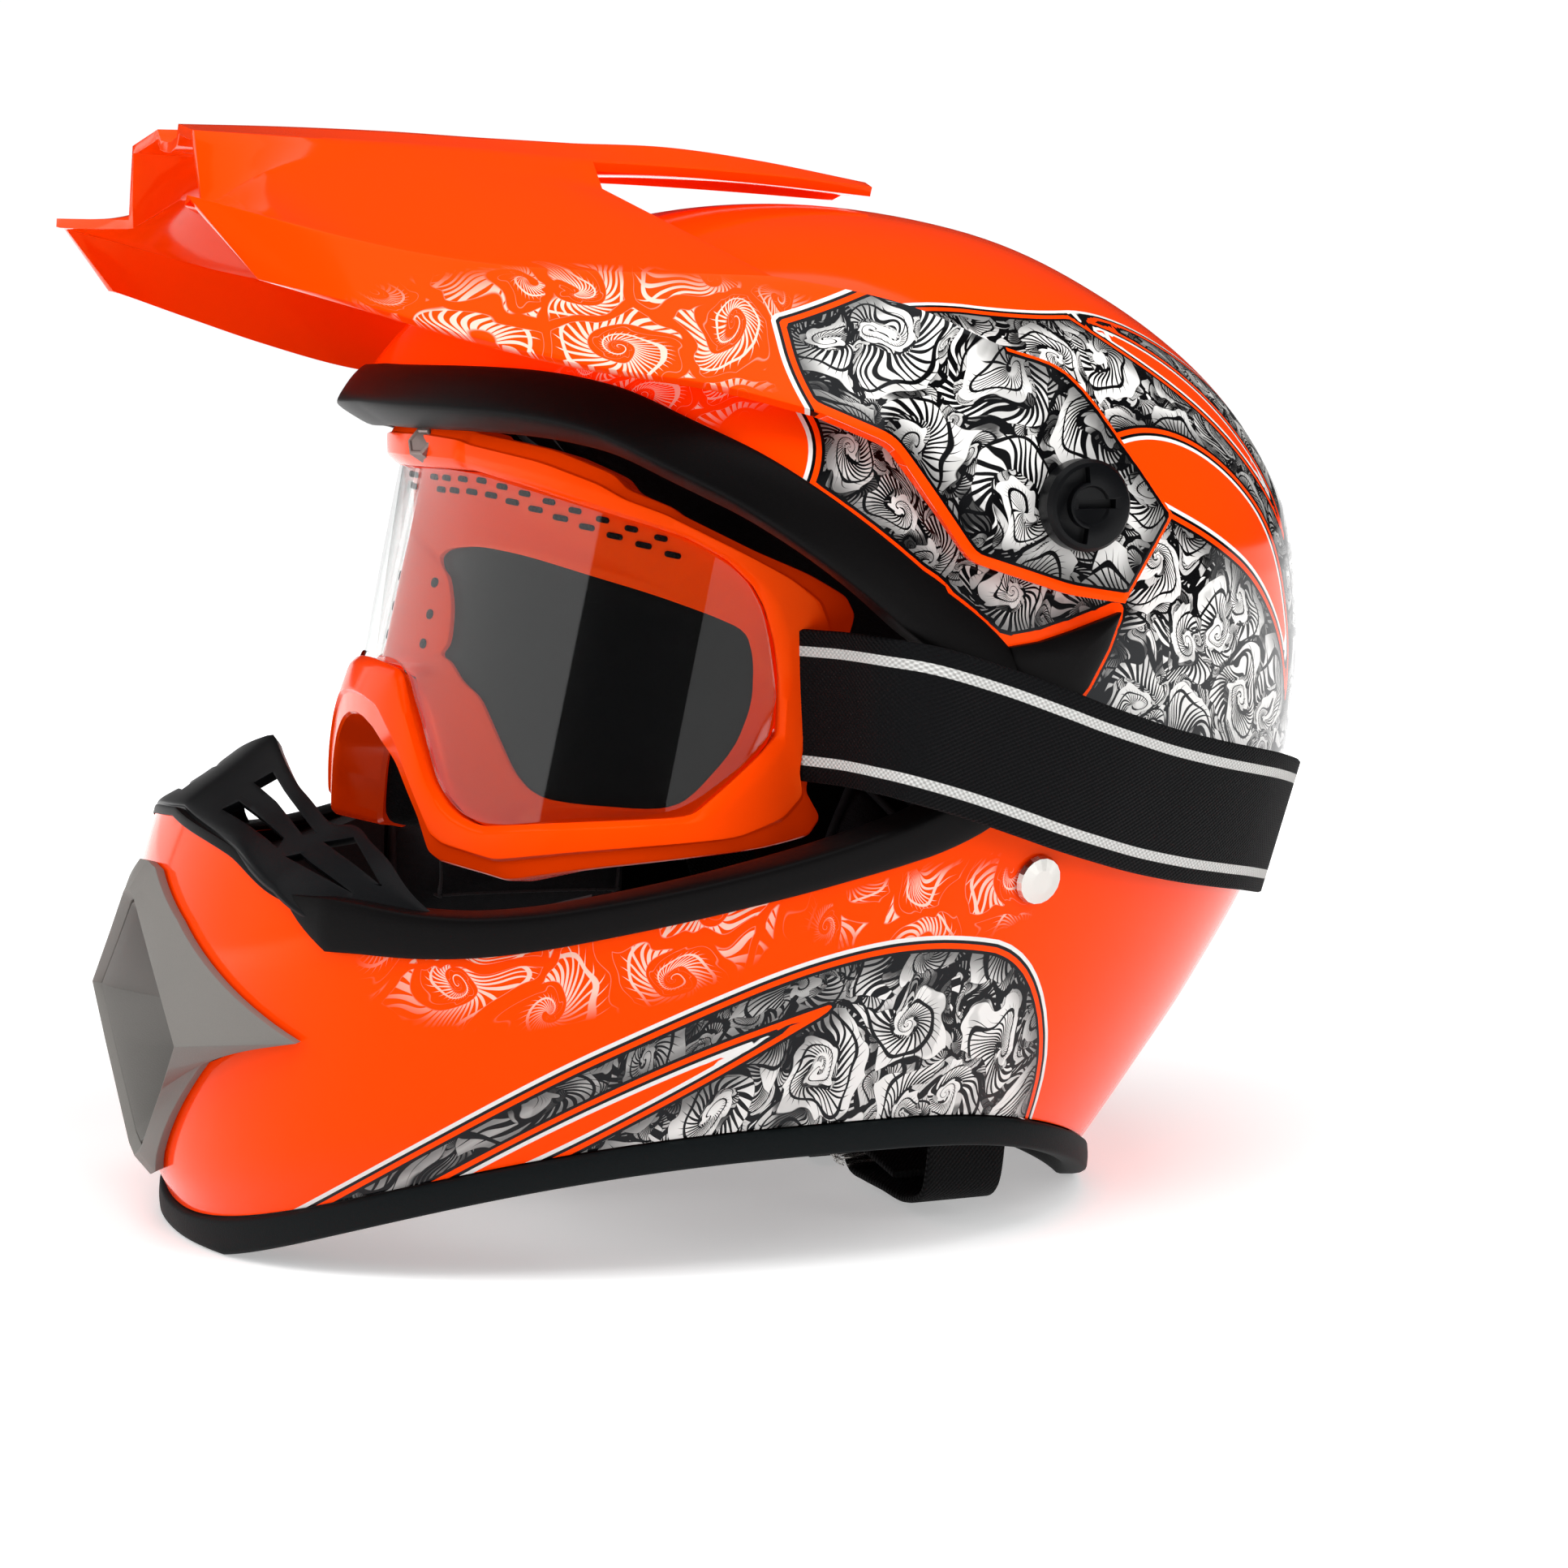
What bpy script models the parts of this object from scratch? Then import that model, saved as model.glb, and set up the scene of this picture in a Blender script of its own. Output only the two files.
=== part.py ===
# Off-road motorcycle helmet with its goggles fitted, standing on its bottom rim.
# The front is -Y, the wearer's left is +X and up is +Z. Lengths are metres.
import math

import bmesh
import bpy
import numpy as np
from mathutils import Matrix, Vector

mm = 0.001

# Overall sizes of the outer shell. The design points below are drawn for 256 x 325 x 268 mm.
SHELL_WIDTH = 256 * mm
SHELL_LENGTH = 325 * mm
SHELL_HEIGHT = 268 * mm

# Walls, linings and clearances.
SHELL_WALL = 4.0 * mm
SEAT_GAP = 0.4 * mm
LINER_GAP = 1.5 * mm
LINER_DEPTH = 29 * mm
COMFORT_DEPTH = 7 * mm
CHIN_FOAM_DEPTH = 14 * mm
BASE_TRIM_DEPTH = 8 * mm
STAND_DROP = 3 * mm
PEAK_WALL = 2.6 * mm
GUARD_WALL = 2.0 * mm
FUNNEL_WALL = 1.4 * mm
CHEEK_PAD_DEPTH = 30 * mm
NECK_ROLL_DEPTH = 22 * mm

# Hardware.
KNOB_RADIUS = 11 * mm
KNOB_DEPTH = 7 * mm
PIVOT_SHAFT_RADIUS = 3.5 * mm
PIVOT_CLEARANCE = 0.6 * mm
BOSS_RADIUS = 9.5 * mm
RIVET_RADIUS = 2.4 * mm
RIVET_CLEARANCE = 0.6 * mm
RIVET_HEAD_RADIUS = 6.5 * mm
WEBBING_WIDTH = 22 * mm
WEBBING_DEPTH = 1.8 * mm
RING_WIRE = 2.0 * mm

# Goggles: a wrap-round lens on a leaning axis, in design millimetres, and an elastic strap.
GOGGLE_RADIUS = 84
GOGGLE_SPREAD = 1.07
GOGGLE_LEAN = math.radians(13)
GOGGLE_AXIS_Y = -7
GOGGLE_AXIS_Z = 163
LENS_DEPTH = 1.6
STRAP_WIDTH = 38 * mm
STRAP_DEPTH = 2.2 * mm

# Peak pivots, chin strap rivets and the plane of the peak's ears, in design millimetres.
PIVOT_Y = 43
PIVOT_Z = 191.5
EAR_X = 133.5
RIVET_Y = 40
RIVET_Z = 98

PIVOT_BORE_RADIUS = PIVOT_SHAFT_RADIUS + PIVOT_CLEARANCE
RIVET_HOLE_RADIUS = RIVET_RADIUS + RIVET_CLEARANCE

WIDE = SHELL_WIDTH / (256 * mm)
LONG = SHELL_LENGTH / (325 * mm)
TALL = SHELL_HEIGHT / (268 * mm)
# Gaps between faceted pieces widen as the overall sizes grow or pull apart; 1 at the real size.
SPREAD = max(WIDE, LONG, TALL, 1) / min(WIDE, LONG, TALL, 1)

# Rings of the outer skin from the bottom edge to the crown: front (y, z), widest side
# point (half width, y, z), rear (y, z), and the fullness of the front and rear curves.
RINGS = np.array([
    (-152, 7.5, 107, -4, 38, 98, 7.5, 2.2, 2.1),
    (-158, 24, 114, -2, 58, 112, 26, 2.2, 2.1),
    (-160, 57, 120, 0, 88, 131, 50, 2.2, 2.1),
    (-155, 96, 124, 2, 112, 152, 86, 2.2, 2.1),
    (-140, 132, 127, 3, 138, 161, 122, 2.15, 2.1),
    (-120, 174, 128, 4, 165, 163, 155, 2.1, 2.1),
    (-99, 212, 126, 5, 192, 157, 188, 2.1, 2.1),
    (-80, 237, 114, 6, 222, 138, 217, 2.05, 2.05),
    (-52, 255, 90, 8, 246, 108, 241, 2, 2),
    (-18, 265, 50, 12, 262, 70, 259.5, 2, 2),
    (15, 268, 0, 15, 268, 15, 268, 2, 2),
])
CROWN = len(RINGS) - 1
PASSED = RINGS[-2] * 1.0
PASSED[[0, 3, 5]] = 30 - PASSED[[0, 3, 5]]
PASSED[2] = -PASSED[2]
LADDER = np.vstack([2 * RINGS[0] - RINGS[1], RINGS, PASSED])

# Eye port edges: angle from the front in degrees, height.
PORT_END = 100
PORT_TOP = ((0, 216), (30, 214.5), (45, 210.5), (56, 203), (70, 191), (84, 173), (93, 155), (100, 134))
PORT_BOTTOM = ((0, 110), (18, 105), (27, 97.5), (32, 95), (41, 94.5), (51, 97), (62, 102.5),
               (76, 110), (90, 118.5), (96, 124), (100, 134))
PORT_REAR = ((100, 134), (140, 122), (180, 114))


def through(points, x):
    # A smooth curve through (x, y) points.
    points = np.asarray(points, float)
    xs = points[:, 0]
    ys = points[:, 1]
    x = min(max(x, xs[0]), xs[-1])
    i = int(min(np.searchsorted(xs, x, side="right") - 1, len(xs) - 2))
    step = xs[i + 1] - xs[i]
    rise = (ys[i + 1] - ys[i]) / step
    before = rise if i == 0 else (ys[i + 1] - ys[i - 1]) / (xs[i + 1] - xs[i - 1])
    after = rise if i + 2 == len(xs) else (ys[i + 2] - ys[i]) / (xs[i + 2] - xs[i])
    t = (x - xs[i]) / step
    a = ys[i] * (2 * t ** 3 - 3 * t * t + 1) + ys[i + 1] * (3 * t * t - 2 * t ** 3)
    return a + step * (before * (t ** 3 - 2 * t * t + t) + after * (t ** 3 - t * t))


def along(points, t):
    # A smooth path through points of any dimension, t from 0 to 1.
    points = np.asarray(points, float)
    last = len(points) - 1
    place = min(max(t, 0.0), 1.0) * last
    i = min(int(place), last - 1)
    f = place - i
    p1 = points[i]
    p2 = points[i + 1]
    p0 = points[i - 1] if i > 0 else 2 * p1 - p2
    p3 = points[i + 2] if i + 2 <= last else 2 * p2 - p1
    return 0.5 * (2 * p1 + (p2 - p0) * f + (2 * p0 - 5 * p1 + 4 * p2 - p3) * f * f
                  + (3 * p1 - p0 - 3 * p2 + p3) * f ** 3)


def scaled(p):
    # Design millimetres to metres at the chosen overall size.
    return Vector((p[0] * WIDE * mm, p[1] * LONG * mm, p[2] * TALL * mm))


def ring_point(s, angle):
    # Point of the outer skin in design millimetres.
    s = min(max(s, -0.9), CROWN)
    i = min(int(math.floor(s)) + 1, CROWN)
    f = s + 1 - i
    p0 = LADDER[max(i - 1, 0)]
    p1 = LADDER[i]
    p2 = LADDER[i + 1]
    p3 = LADDER[min(i + 2, CROWN + 2)]
    v = 0.5 * (2 * p1 + (p2 - p0) * f + (2 * p0 - 5 * p1 + 4 * p2 - p3) * f * f
               + (3 * p1 - p0 - 3 * p2 + p3) * f ** 3)
    c = math.cos(angle)
    k = math.sin(angle)
    power = 2 / (v[7] if c > 0 else v[8])
    end_y = v[0] if c > 0 else v[5]
    end_z = v[1] if c > 0 else v[6]
    x = v[2] * math.copysign(abs(k) ** power, k)
    y = v[3] + (end_y - v[3]) * abs(c) ** power
    z = v[4] + (end_z - v[4]) * abs(c) ** 2.3
    return x, y, z


def skin(s, angle, out=0.0):
    # Point on the outer skin, moved outwards by a distance in metres.
    p = scaled(ring_point(s, angle))
    if out:
        p = p + skin_normal(s, angle) * out
    return p


def skin_slopes(s, angle):
    a = 0.004
    up = (scaled(ring_point(min(s + 0.02, CROWN), angle)) - scaled(ring_point(s - 0.02, angle)))
    up = up / (min(s + 0.02, CROWN) - s + 0.02)
    side = (scaled(ring_point(s, angle + a)) - scaled(ring_point(s, angle - a))) / (2 * a)
    return up, side


def skin_normal(s, angle):
    if s > CROWN - 0.02:
        return Vector((0, 0, 1))
    up, side = skin_slopes(s, angle)
    return side.cross(up).normalized()


def level(z, angle):
    # Ring place at which the skin reaches a design height on this meridian.
    low = -0.5
    high = CROWN
    for _ in range(40):
        mid = (low + high) / 2
        if ring_point(mid, angle)[2] < z:
            low = mid
        else:
            high = mid
    return (low + high) / 2


def slid(s, angle, move):
    # Slide a place on the skin by a short vector lying along it.
    up, side = skin_slopes(s, angle)
    grid = np.array([[up.dot(up), up.dot(side)], [up.dot(side), side.dot(side)]])
    ds, da = np.linalg.solve(grid, np.array([up.dot(move), side.dot(move)]))
    return s + ds, angle + da


def find_skin(match, s, angle):
    # Ring place and angle at which two design coordinates of the skin match.
    axes = [k for k in range(3) if match[k] is not None]
    for _ in range(30):
        here = ring_point(s, angle)
        miss = np.array([match[k] - here[k] for k in axes])
        ahead = ring_point(s + 0.01, angle)
        aside = ring_point(s, angle + 0.004)
        grid = np.array([[(ahead[k] - here[k]) / 0.01, (aside[k] - here[k]) / 0.004] for k in axes])
        ds, da = np.linalg.solve(grid, miss)
        s = s + min(max(ds, -0.4), 0.4)
        angle = angle + min(max(da, -0.2), 0.2)
    return s, angle


def port_edges(angle):
    # Ring places of the lower and upper edges of the eye port on this meridian.
    turn = abs(math.degrees(math.atan2(math.sin(angle), math.cos(angle))))
    if turn >= PORT_END - 0.01:
        middle = level(through(PORT_REAR, turn), angle)
        return middle, middle
    return level(through(PORT_BOTTOM, turn), angle), level(through(PORT_TOP, turn), angle)


for old in list(bpy.data.objects):
    bpy.data.objects.remove(old, do_unlink=True)

helmet = bpy.data.collections.new("motocross helmet")
cutters = bpy.data.collections.new("cutters")
bpy.context.scene.collection.children.link(helmet)
bpy.context.scene.collection.children.link(cutters)

stand = bpy.data.objects.new("helmet frame", None)
helmet.objects.link(stand)


def finish(name, color, roughness=0.5, metallic=0.0):
    material = bpy.data.materials.new(name)
    material.use_nodes = True
    shader = material.node_tree.nodes["Principled BSDF"]
    shader.inputs["Base Color"].default_value = (*color, 1)
    shader.inputs["Roughness"].default_value = roughness
    shader.inputs["Metallic"].default_value = metallic
    return material


ORANGE = (0.95, 0.10, 0.01)
BLACK = (0.02, 0.02, 0.022)
GREY = (0.25, 0.24, 0.23)
STEEL = (0.6, 0.6, 0.62)
FOAM = (0.05, 0.05, 0.055)
LINING = (0.06, 0.06, 0.065)
SHARP_ANGLE = math.radians(35)


def keep(name, bm, color, roughness=0.5, metallic=0.0, pivot=None, group=None):
    # Turn a bmesh into a named object whose origin lies at its pivot.
    mesh = bpy.data.meshes.new(name)
    if pivot is not None:
        bmesh.ops.translate(bm, verts=bm.verts, vec=-Vector(pivot))
    bm.to_mesh(mesh)
    bm.free()
    mesh.shade_smooth()
    mesh.set_sharp_from_angle(angle=SHARP_ANGLE)
    piece = bpy.data.objects.new(name, mesh)
    (group or helmet).objects.link(piece)
    if pivot is not None:
        piece.location = pivot
    piece.parent = stand
    if group is None:
        mesh.materials.append(finish(name, color, roughness, metallic))
    else:
        piece.hide_render = True
        piece.display_type = "WIRE"
    return piece


def sheet(bm, columns, rows, place):
    # A grid laid on a surface: place takes the two fractions across the grid.
    made = bmesh.ops.create_grid(bm, x_segments=columns, y_segments=rows, size=1)
    for v in made["verts"]:
        v.co = place((v.co.x + 1) / 2, (v.co.y + 1) / 2)
    return made["verts"]


def welded(bm, reach=1e-6):
    bmesh.ops.remove_doubles(bm, verts=bm.verts, dist=reach)


def outward(bm):
    bmesh.ops.recalc_face_normals(bm, faces=bm.faces)


def thicken(piece, depth, offset=-1):
    wall = piece.modifiers.new("wall", "SOLIDIFY")
    wall.thickness = depth
    wall.offset = offset
    wall.use_even_offset = True
    return piece


def cut(piece, cutter):
    hole = piece.modifiers.new("cut", "BOOLEAN")
    hole.operation = "DIFFERENCE"
    hole.solver = "EXACT"
    hole.object = cutter


def rod(bm, start, end, radius, segments=20):
    # A round bar between two points.
    start = Vector(start)
    end = Vector(end)
    turn = (end - start).to_track_quat("Z", "Y").to_matrix().to_4x4()
    bmesh.ops.create_cone(bm, cap_ends=True, segments=segments, radius1=radius, radius2=radius,
                          depth=(end - start).length,
                          matrix=Matrix.Translation((start + end) / 2) @ turn)


def brick(bm, middle, size, turn=None):
    frame = Matrix.Translation(middle) @ (turn or Matrix.Identity(4))
    bmesh.ops.create_cube(bm, size=1, matrix=frame @ Matrix.Diagonal((*size, 1)))


def turned(name, profile, base, axis, color, roughness, metallic, segments=18):
    # A solid of revolution: profile of (radius, height) about an axis from a base point.
    bm = bmesh.new()
    base = Vector(base)
    frame = Matrix.Translation(base) @ Vector(axis).to_track_quat("Z", "Y").to_matrix().to_4x4()
    verts = [bm.verts.new((r, 0, h)) for r, h in profile]
    edges = [bm.edges.new(pair) for pair in zip(verts, verts[1:])]
    if profile[0][0] > 0:
        edges.append(bm.edges.new((verts[-1], verts[0])))
    bmesh.ops.spin(bm, geom=verts + edges, axis=(0, 0, 1), cent=(0, 0, 0),
                   angle=2 * math.pi, steps=segments, use_merge=True)
    welded(bm, 1e-7)
    bmesh.ops.transform(bm, matrix=frame, verts=bm.verts)
    outward(bm)
    return keep(name, bm, color, roughness, metallic, pivot=base)


def ribbon(name, centres, across, width, depth, color, roughness):
    # A webbing strip: centre line points and the direction of its width at each.
    bm = bmesh.new()
    last = len(centres) - 1

    def lay(u, v):
        i = int(round(u * last))
        return centres[i] + across[i] * (v - 0.5) * width

    sheet(bm, last, 1, lay)
    return thicken(keep(name, bm, color, roughness), depth, offset=0)


def turn_of(u):
    # Angle round the helmet: u from 0 to 1 starts and ends at the rear.
    return -math.pi + 2 * math.pi * u


# Outer shell.
COLUMNS = 54
bm = bmesh.new()
sheet(bm, COLUMNS, 5, lambda u, v: skin(port_edges(turn_of(u))[0] * v, turn_of(u)))


def upper_shell(u, v):
    start = port_edges(turn_of(u))[1]
    return skin(start + (CROWN - start) * v, turn_of(u))


sheet(bm, COLUMNS, 8, upper_shell)
welded(bm, 2e-6)
shell = thicken(keep("outer_shell", bm, ORANGE, 0.25), SHELL_WALL)

# Mouth opening through the chin, behind the front vent.
MOUTH = ((0, 88.5), (48, 58), (0, 22.5), (-48, 58))
VENT_RIM_Y = -163


def diamond(bm, outline, y0, y1):
    corners = [bm.verts.new(scaled((x, y0, z))) for x, z in outline]
    face = bm.faces.new(corners)
    moved = bmesh.ops.extrude_face_region(bm, geom=[face])["geom"]
    far = [v for v in moved if isinstance(v, bmesh.types.BMVert)]
    bmesh.ops.translate(bm, verts=far, vec=scaled((0, y1 - y0, 0)))
    outward(bm)


bm = bmesh.new()
diamond(bm, MOUTH, -190, -112)
mouth_cutter = keep("mouth cutter", bm, BLACK, group=cutters)
cut(shell, mouth_cutter)

# Impact liner of foam under the shell, from brow to nape.
LINER_EDGE = ((0, 237), (45, 230), (60, 220), (75, 205), (88, 188), (97, 164), (104, 138), (114, 124),
              (130, 92), (150, 68), (180, 62))
LINER_OUT = -(SHELL_WALL + LINER_GAP)


def between(bm, columns, rows, outer, inner, closed=False):
    # A body between two surfaces on the same grid, joined round their edges.
    sheet(bm, columns, rows, outer)
    sheet(bm, columns, rows, inner)
    if closed:
        welded(bm, 3e-6)
    bmesh.ops.bridge_loops(bm, edges=[e for e in bm.edges if e.is_boundary])
    outward(bm)


def dome(columns, rows, edge, out, depth):
    bm = bmesh.new()

    def lay(u, v, out):
        angle = turn_of(u)
        start = level(through(edge, abs(math.degrees(angle))), angle)
        return skin(start + (CROWN - start) * v, angle, out)

    between(bm, columns, rows, lambda u, v: lay(u, v, out), lambda u, v: lay(u, v, out - depth), True)
    return bm


keep("impact_liner", dome(30, 7, LINER_EDGE, LINER_OUT, LINER_DEPTH), FOAM, 0.85)

COMFORT_EDGE = [(turn, height + 7) for turn, height in LINER_EDGE]
COMFORT_OUT = LINER_OUT - LINER_DEPTH - LINER_GAP * SPREAD ** 2
keep("comfort_liner", dome(30, 6, COMFORT_EDGE, COMFORT_OUT, COMFORT_DEPTH), LINING, 0.95)


# Chin foam: a pad inside the chin bar with a window behind the mouth opening.
def chin_pad(u, v):
    angle = math.radians(-64 + 128 * u)
    low = 0.25
    high = level(through(PORT_BOTTOM, abs(math.degrees(angle))) - 9, angle)
    return skin(low + (high - low) * v, angle, LINER_OUT)


bm = bmesh.new()
sheet(bm, 20, 6, chin_pad)
chin = thicken(keep("chin_foam", bm, FOAM, 0.9), CHIN_FOAM_DEPTH)
cut(chin, mouth_cutter)


CUSHION_OUT = -(SHELL_WALL + 2 * SEAT_GAP)


# Cushions: crowned pads whose edges draw in to the wall they sit on.
def cushion(name, columns, rows, place, depth, color):
    bm = bmesh.new()

    def face(u, v):
        s, angle = place(u, v)
        rise = (1 - abs(2 * u - 1) ** 5) * (1 - abs(2 * v - 1) ** 4)
        return skin(s, angle, CUSHION_OUT - depth * (0.3 + 0.7 * rise ** 0.6))

    def back(u, v):
        s, angle = place(u, v)
        return skin(s, angle, CUSHION_OUT)

    between(bm, columns, rows, face, back)
    return keep(name, bm, color, 0.95)


for side, word in ((1, "left"), (-1, "right")):
    def cheek(u, v, side=side):
        angle = math.radians(67 + 27 * u)
        low = level(62 - 6 * u, angle)
        high = level(91 + 7 * u, angle)
        return low + (high - low) * v, side * angle

    cushion(f"cheek_pad_{word}", 10, 8, cheek, CHEEK_PAD_DEPTH, LINING)


def nape(u, v):
    angle = math.radians(124 + 112 * u)
    turn = 180 - abs(math.degrees(angle) - 180)
    low = 0.25
    high = level(through(LINER_EDGE, turn) - 5, angle)
    return low + (high - low) * v, angle


cushion("neck_roll", 18, 7, nape, NECK_ROLL_DEPTH, LINING)


# Eye port trim: a band on the shell round the port with a lip turned into it.
def port_outline():
    places = []
    for turn in np.linspace(-PORT_END, PORT_END, 31):
        places.append((port_edges(math.radians(turn))[1], math.radians(turn), 0.0))
    for turn in np.linspace(PORT_END, -PORT_END, 31)[1:-1]:
        places.append((port_edges(math.radians(turn))[0], math.radians(turn), 1.0))
    return places


PORT = port_outline()
# Its sections: (towards the opening, off the skin) in millimetres, full and under the nose guard.
TRIM_SEAT = 0.7 * SPREAD ** 2
TRIM_FOOT = 0.5 * SPREAD ** 2
TRIM_FULL = ((-11, TRIM_FOOT), (-11, 1.8), (-4, 3.2), (2.6, 3.0), (3.2, 1.5), (3.2, -9), (TRIM_SEAT, -9),
             (TRIM_SEAT, TRIM_FOOT))
TRIM_FLAT = ((-8, TRIM_FOOT), (-8, 1.0), (-4, 1.3), (1.2, 1.3), (1.8, 1.0), (1.8, -7), (TRIM_SEAT, -7),
             (TRIM_SEAT, TRIM_FOOT))
GUARD_END = 36
GUARD_FADE = 5


def off_port(i, inward, out):
    # A point off the port edge: a distance towards the opening and one off the skin.
    count = len(PORT)
    s, angle, _ = PORT[i % count]
    ahead = PORT[(i + 1) % count]
    behind = PORT[(i - 1) % count]
    run = skin(ahead[0], ahead[1]) - skin(behind[0], behind[1])
    into = run.cross(skin_normal(s, angle)).normalized()
    there = slid(s, angle, into * inward * mm)
    return skin(there[0], there[1], out * mm)


def trim_band(u, v):
    count = len(PORT)
    i = int(round(u * count))
    k = int(round(v * len(TRIM_FULL))) % len(TRIM_FULL)
    s, angle, below = PORT[i % count]
    flat = below * min(max((GUARD_END + GUARD_FADE - abs(math.degrees(angle))) / GUARD_FADE, 0), 1)
    inward = TRIM_FULL[k][0] * (1 - flat) + TRIM_FLAT[k][0] * flat
    out = TRIM_FULL[k][1] * (1 - flat) + TRIM_FLAT[k][1] * flat
    return off_port(i, inward, out)


bm = bmesh.new()
sheet(bm, len(PORT), len(TRIM_FULL), trim_band)
welded(bm)
outward(bm)
keep("eyeport_trim", bm, BLACK, 0.6)

# Side plates behind the port: pointed black plates on the shell, one each side.
PLATE = ((40, 158), (48, 163), (60, 171), (57, 156), (49, 146), (42.5, 141))
PLATE_MIDDLE = (49, 155)
PLATE_FOOT = 0.6 * mm
PLATE_RISE = 2.4 * mm
PLATE_CROWN = 3.0 * mm
for side, word in ((1, "left"), (-1, "right")):
    bm = bmesh.new()
    low = []
    high = []
    for y, z in PLATE:
        s, angle = find_skin((None, y, z), level(z, math.radians(100)), math.radians(105))
        low.append(bm.verts.new(skin(s, side * angle, PLATE_FOOT)))
        high.append(bm.verts.new(skin(s, side * angle, PLATE_RISE)))
    y, z = PLATE_MIDDLE
    s, angle = find_skin((None, y, z), level(z, math.radians(100)), math.radians(105))
    low_hub = bm.verts.new(skin(s, side * angle, PLATE_FOOT))
    high_hub = bm.verts.new(skin(s, side * angle, PLATE_CROWN))
    for i in range(len(PLATE)):
        j = (i + 1) % len(PLATE)
        bm.faces.new((low[i], low[j], high[j], high[i]))
        bm.faces.new((low[j], low[i], low_hub))
        bm.faces.new((high[i], high[j], high_hub))
    outward(bm)
    keep(f"side_plate_{word}", bm, BLACK, 0.6)

# Base trim: a rubber band under the bottom edge, flat where the helmet stands.
RIM_OVERHANG = 1.5 * mm
RIM_SEAT = 0.5 * mm


def base_band(u, v):
    angle = turn_of(u)
    k = int(round(v * 4)) % 4
    inner = -SHELL_WALL - RIM_OVERHANG
    out = (RIM_OVERHANG, RIM_OVERHANG, inner, inner)[k]
    edge = skin(0, angle)
    away = skin_normal(0, angle)
    away.z = 0
    point = edge + away.normalized() * out
    top = edge.z - RIM_SEAT
    drop = BASE_TRIM_DEPTH + STAND_DROP * abs(math.cos(angle)) ** 8
    point.z = top if k in (1, 2) else max(0.0, edge.z - drop)
    return point


bm = bmesh.new()
sheet(bm, COLUMNS, 4, base_band)
welded(bm)
outward(bm)
keep("base_trim", bm, BLACK, 0.8)

# Nose guard: a vented shield rising from the chin's top edge in front of the nose.
LOWER = [i for i, p in enumerate(PORT) if p[2] > 0 and abs(math.degrees(p[1])) < GUARD_END - 0.5]


def guard(u, v):
    i = LOWER[int(round(u * (len(LOWER) - 1)))]
    turn = abs(math.degrees(PORT[i][1]))
    rise = math.cos(math.pi / 2 * turn / GUARD_END) ** 1.6
    path = ((-9, 1.8), (-4, 2.2), (2.5, 1.9), (5 + 8 * rise, 1.0 - 5.5 * rise),
            (7.5 + 18.5 * rise, -2 - 17 * rise), (7 + 18 * rise, -7 - 18 * rise),
            (4 + 16 * rise, -10 - 18 * rise))
    inward, out = along(path, v)
    return off_port(i, inward, out)


bm = bmesh.new()
sheet(bm, len(LOWER) - 1, 7, guard)
for f in bm.faces:
    f.normal_update()
front_face = min(bm.faces, key=lambda f: f.calc_center_median().y)
if front_face.normal.y > 0:
    bmesh.ops.reverse_faces(bm, faces=bm.faces)
nose = thicken(keep("nose_guard", bm, BLACK, 0.55), GUARD_WALL, offset=1)

# Its windows: angle from the front, reach into the port, length and height.
GUARD_WINDOWS = ((5.5, 9, 11, 5.5), (14, 7.5, 12, 5.0), (22.5, 5.5, 11, 4.5), (7, 18.5, 12, 4.5))
bm = bmesh.new()
for side in (1, -1):
    for turn, reach, long, tall in GUARD_WINDOWS:
        i = min(LOWER, key=lambda n: abs(math.degrees(PORT[n][1]) - side * turn))
        middle = off_port(i, reach, -2)
        run = (off_port(i + 1, reach, -2) - off_port(i - 1, reach, -2)).normalized()
        away = skin_normal(PORT[i][0], PORT[i][1])
        rise = away.cross(run).normalized()
        away = run.cross(rise)
        turn_frame = Matrix((run, rise, away)).transposed().to_4x4()
        brick(bm, middle, (long * mm, tall * mm, 26 * mm), turn_frame)
cut(nose, keep("nose vent cutter", bm, BLACK, group=cutters))

# Mouth vent: a swept frame on the chin, a funnel inside it and a slotted grille at its throat.
VENT_OUTER = ((0, 97), (20, 93), (46, 75), (70, 61), (47, 53), (20, 24), (0, 16))
VENT_INNER = ((0, 88), (10, 83), (29, 70), (47.5, 58), (32, 45), (11, 28), (0, 23))


def vent_loop(half, t):
    # Outline round the vent, t from 0 to 1 clockwise from the top.
    if t <= 0.5:
        return along(half, 2 * t)
    x, z = along(half, 2 - 2 * t)
    return np.array((-x, z))


def on_chin(x, z, out):
    s, angle = find_skin((x, None, z), level(z, 0.2), 0.01 + x / 150)
    return skin(s, angle, out)


def vent_frame(u, v):
    k = int(round(v * 5)) % 5
    t = u % 1.0
    outer = vent_loop(VENT_OUTER, t)
    inner = vent_loop(VENT_INNER, t)
    if k == 0:
        return on_chin(outer[0], outer[1], 1.2 * mm)
    if k == 1:
        return on_chin(outer[0], outer[1], 3.4 * mm)
    if k == 2:
        return scaled((inner[0] * 1.05, VENT_RIM_Y + 0.5, 57 + (inner[1] - 57) * 1.06))
    if k == 3:
        return scaled((inner[0], VENT_RIM_Y + 2.0, inner[1]))
    return on_chin(inner[0], inner[1], 1.8 * mm)


bm = bmesh.new()
sheet(bm, 36, 5, vent_frame)
welded(bm)
outward(bm)
keep("mouth_vent_frame", bm, GREY, 0.6)

THROAT = ((0, 77), (5, 76), (7, 68), (7, 57), (7, 46), (5, 38), (0, 37))


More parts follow.
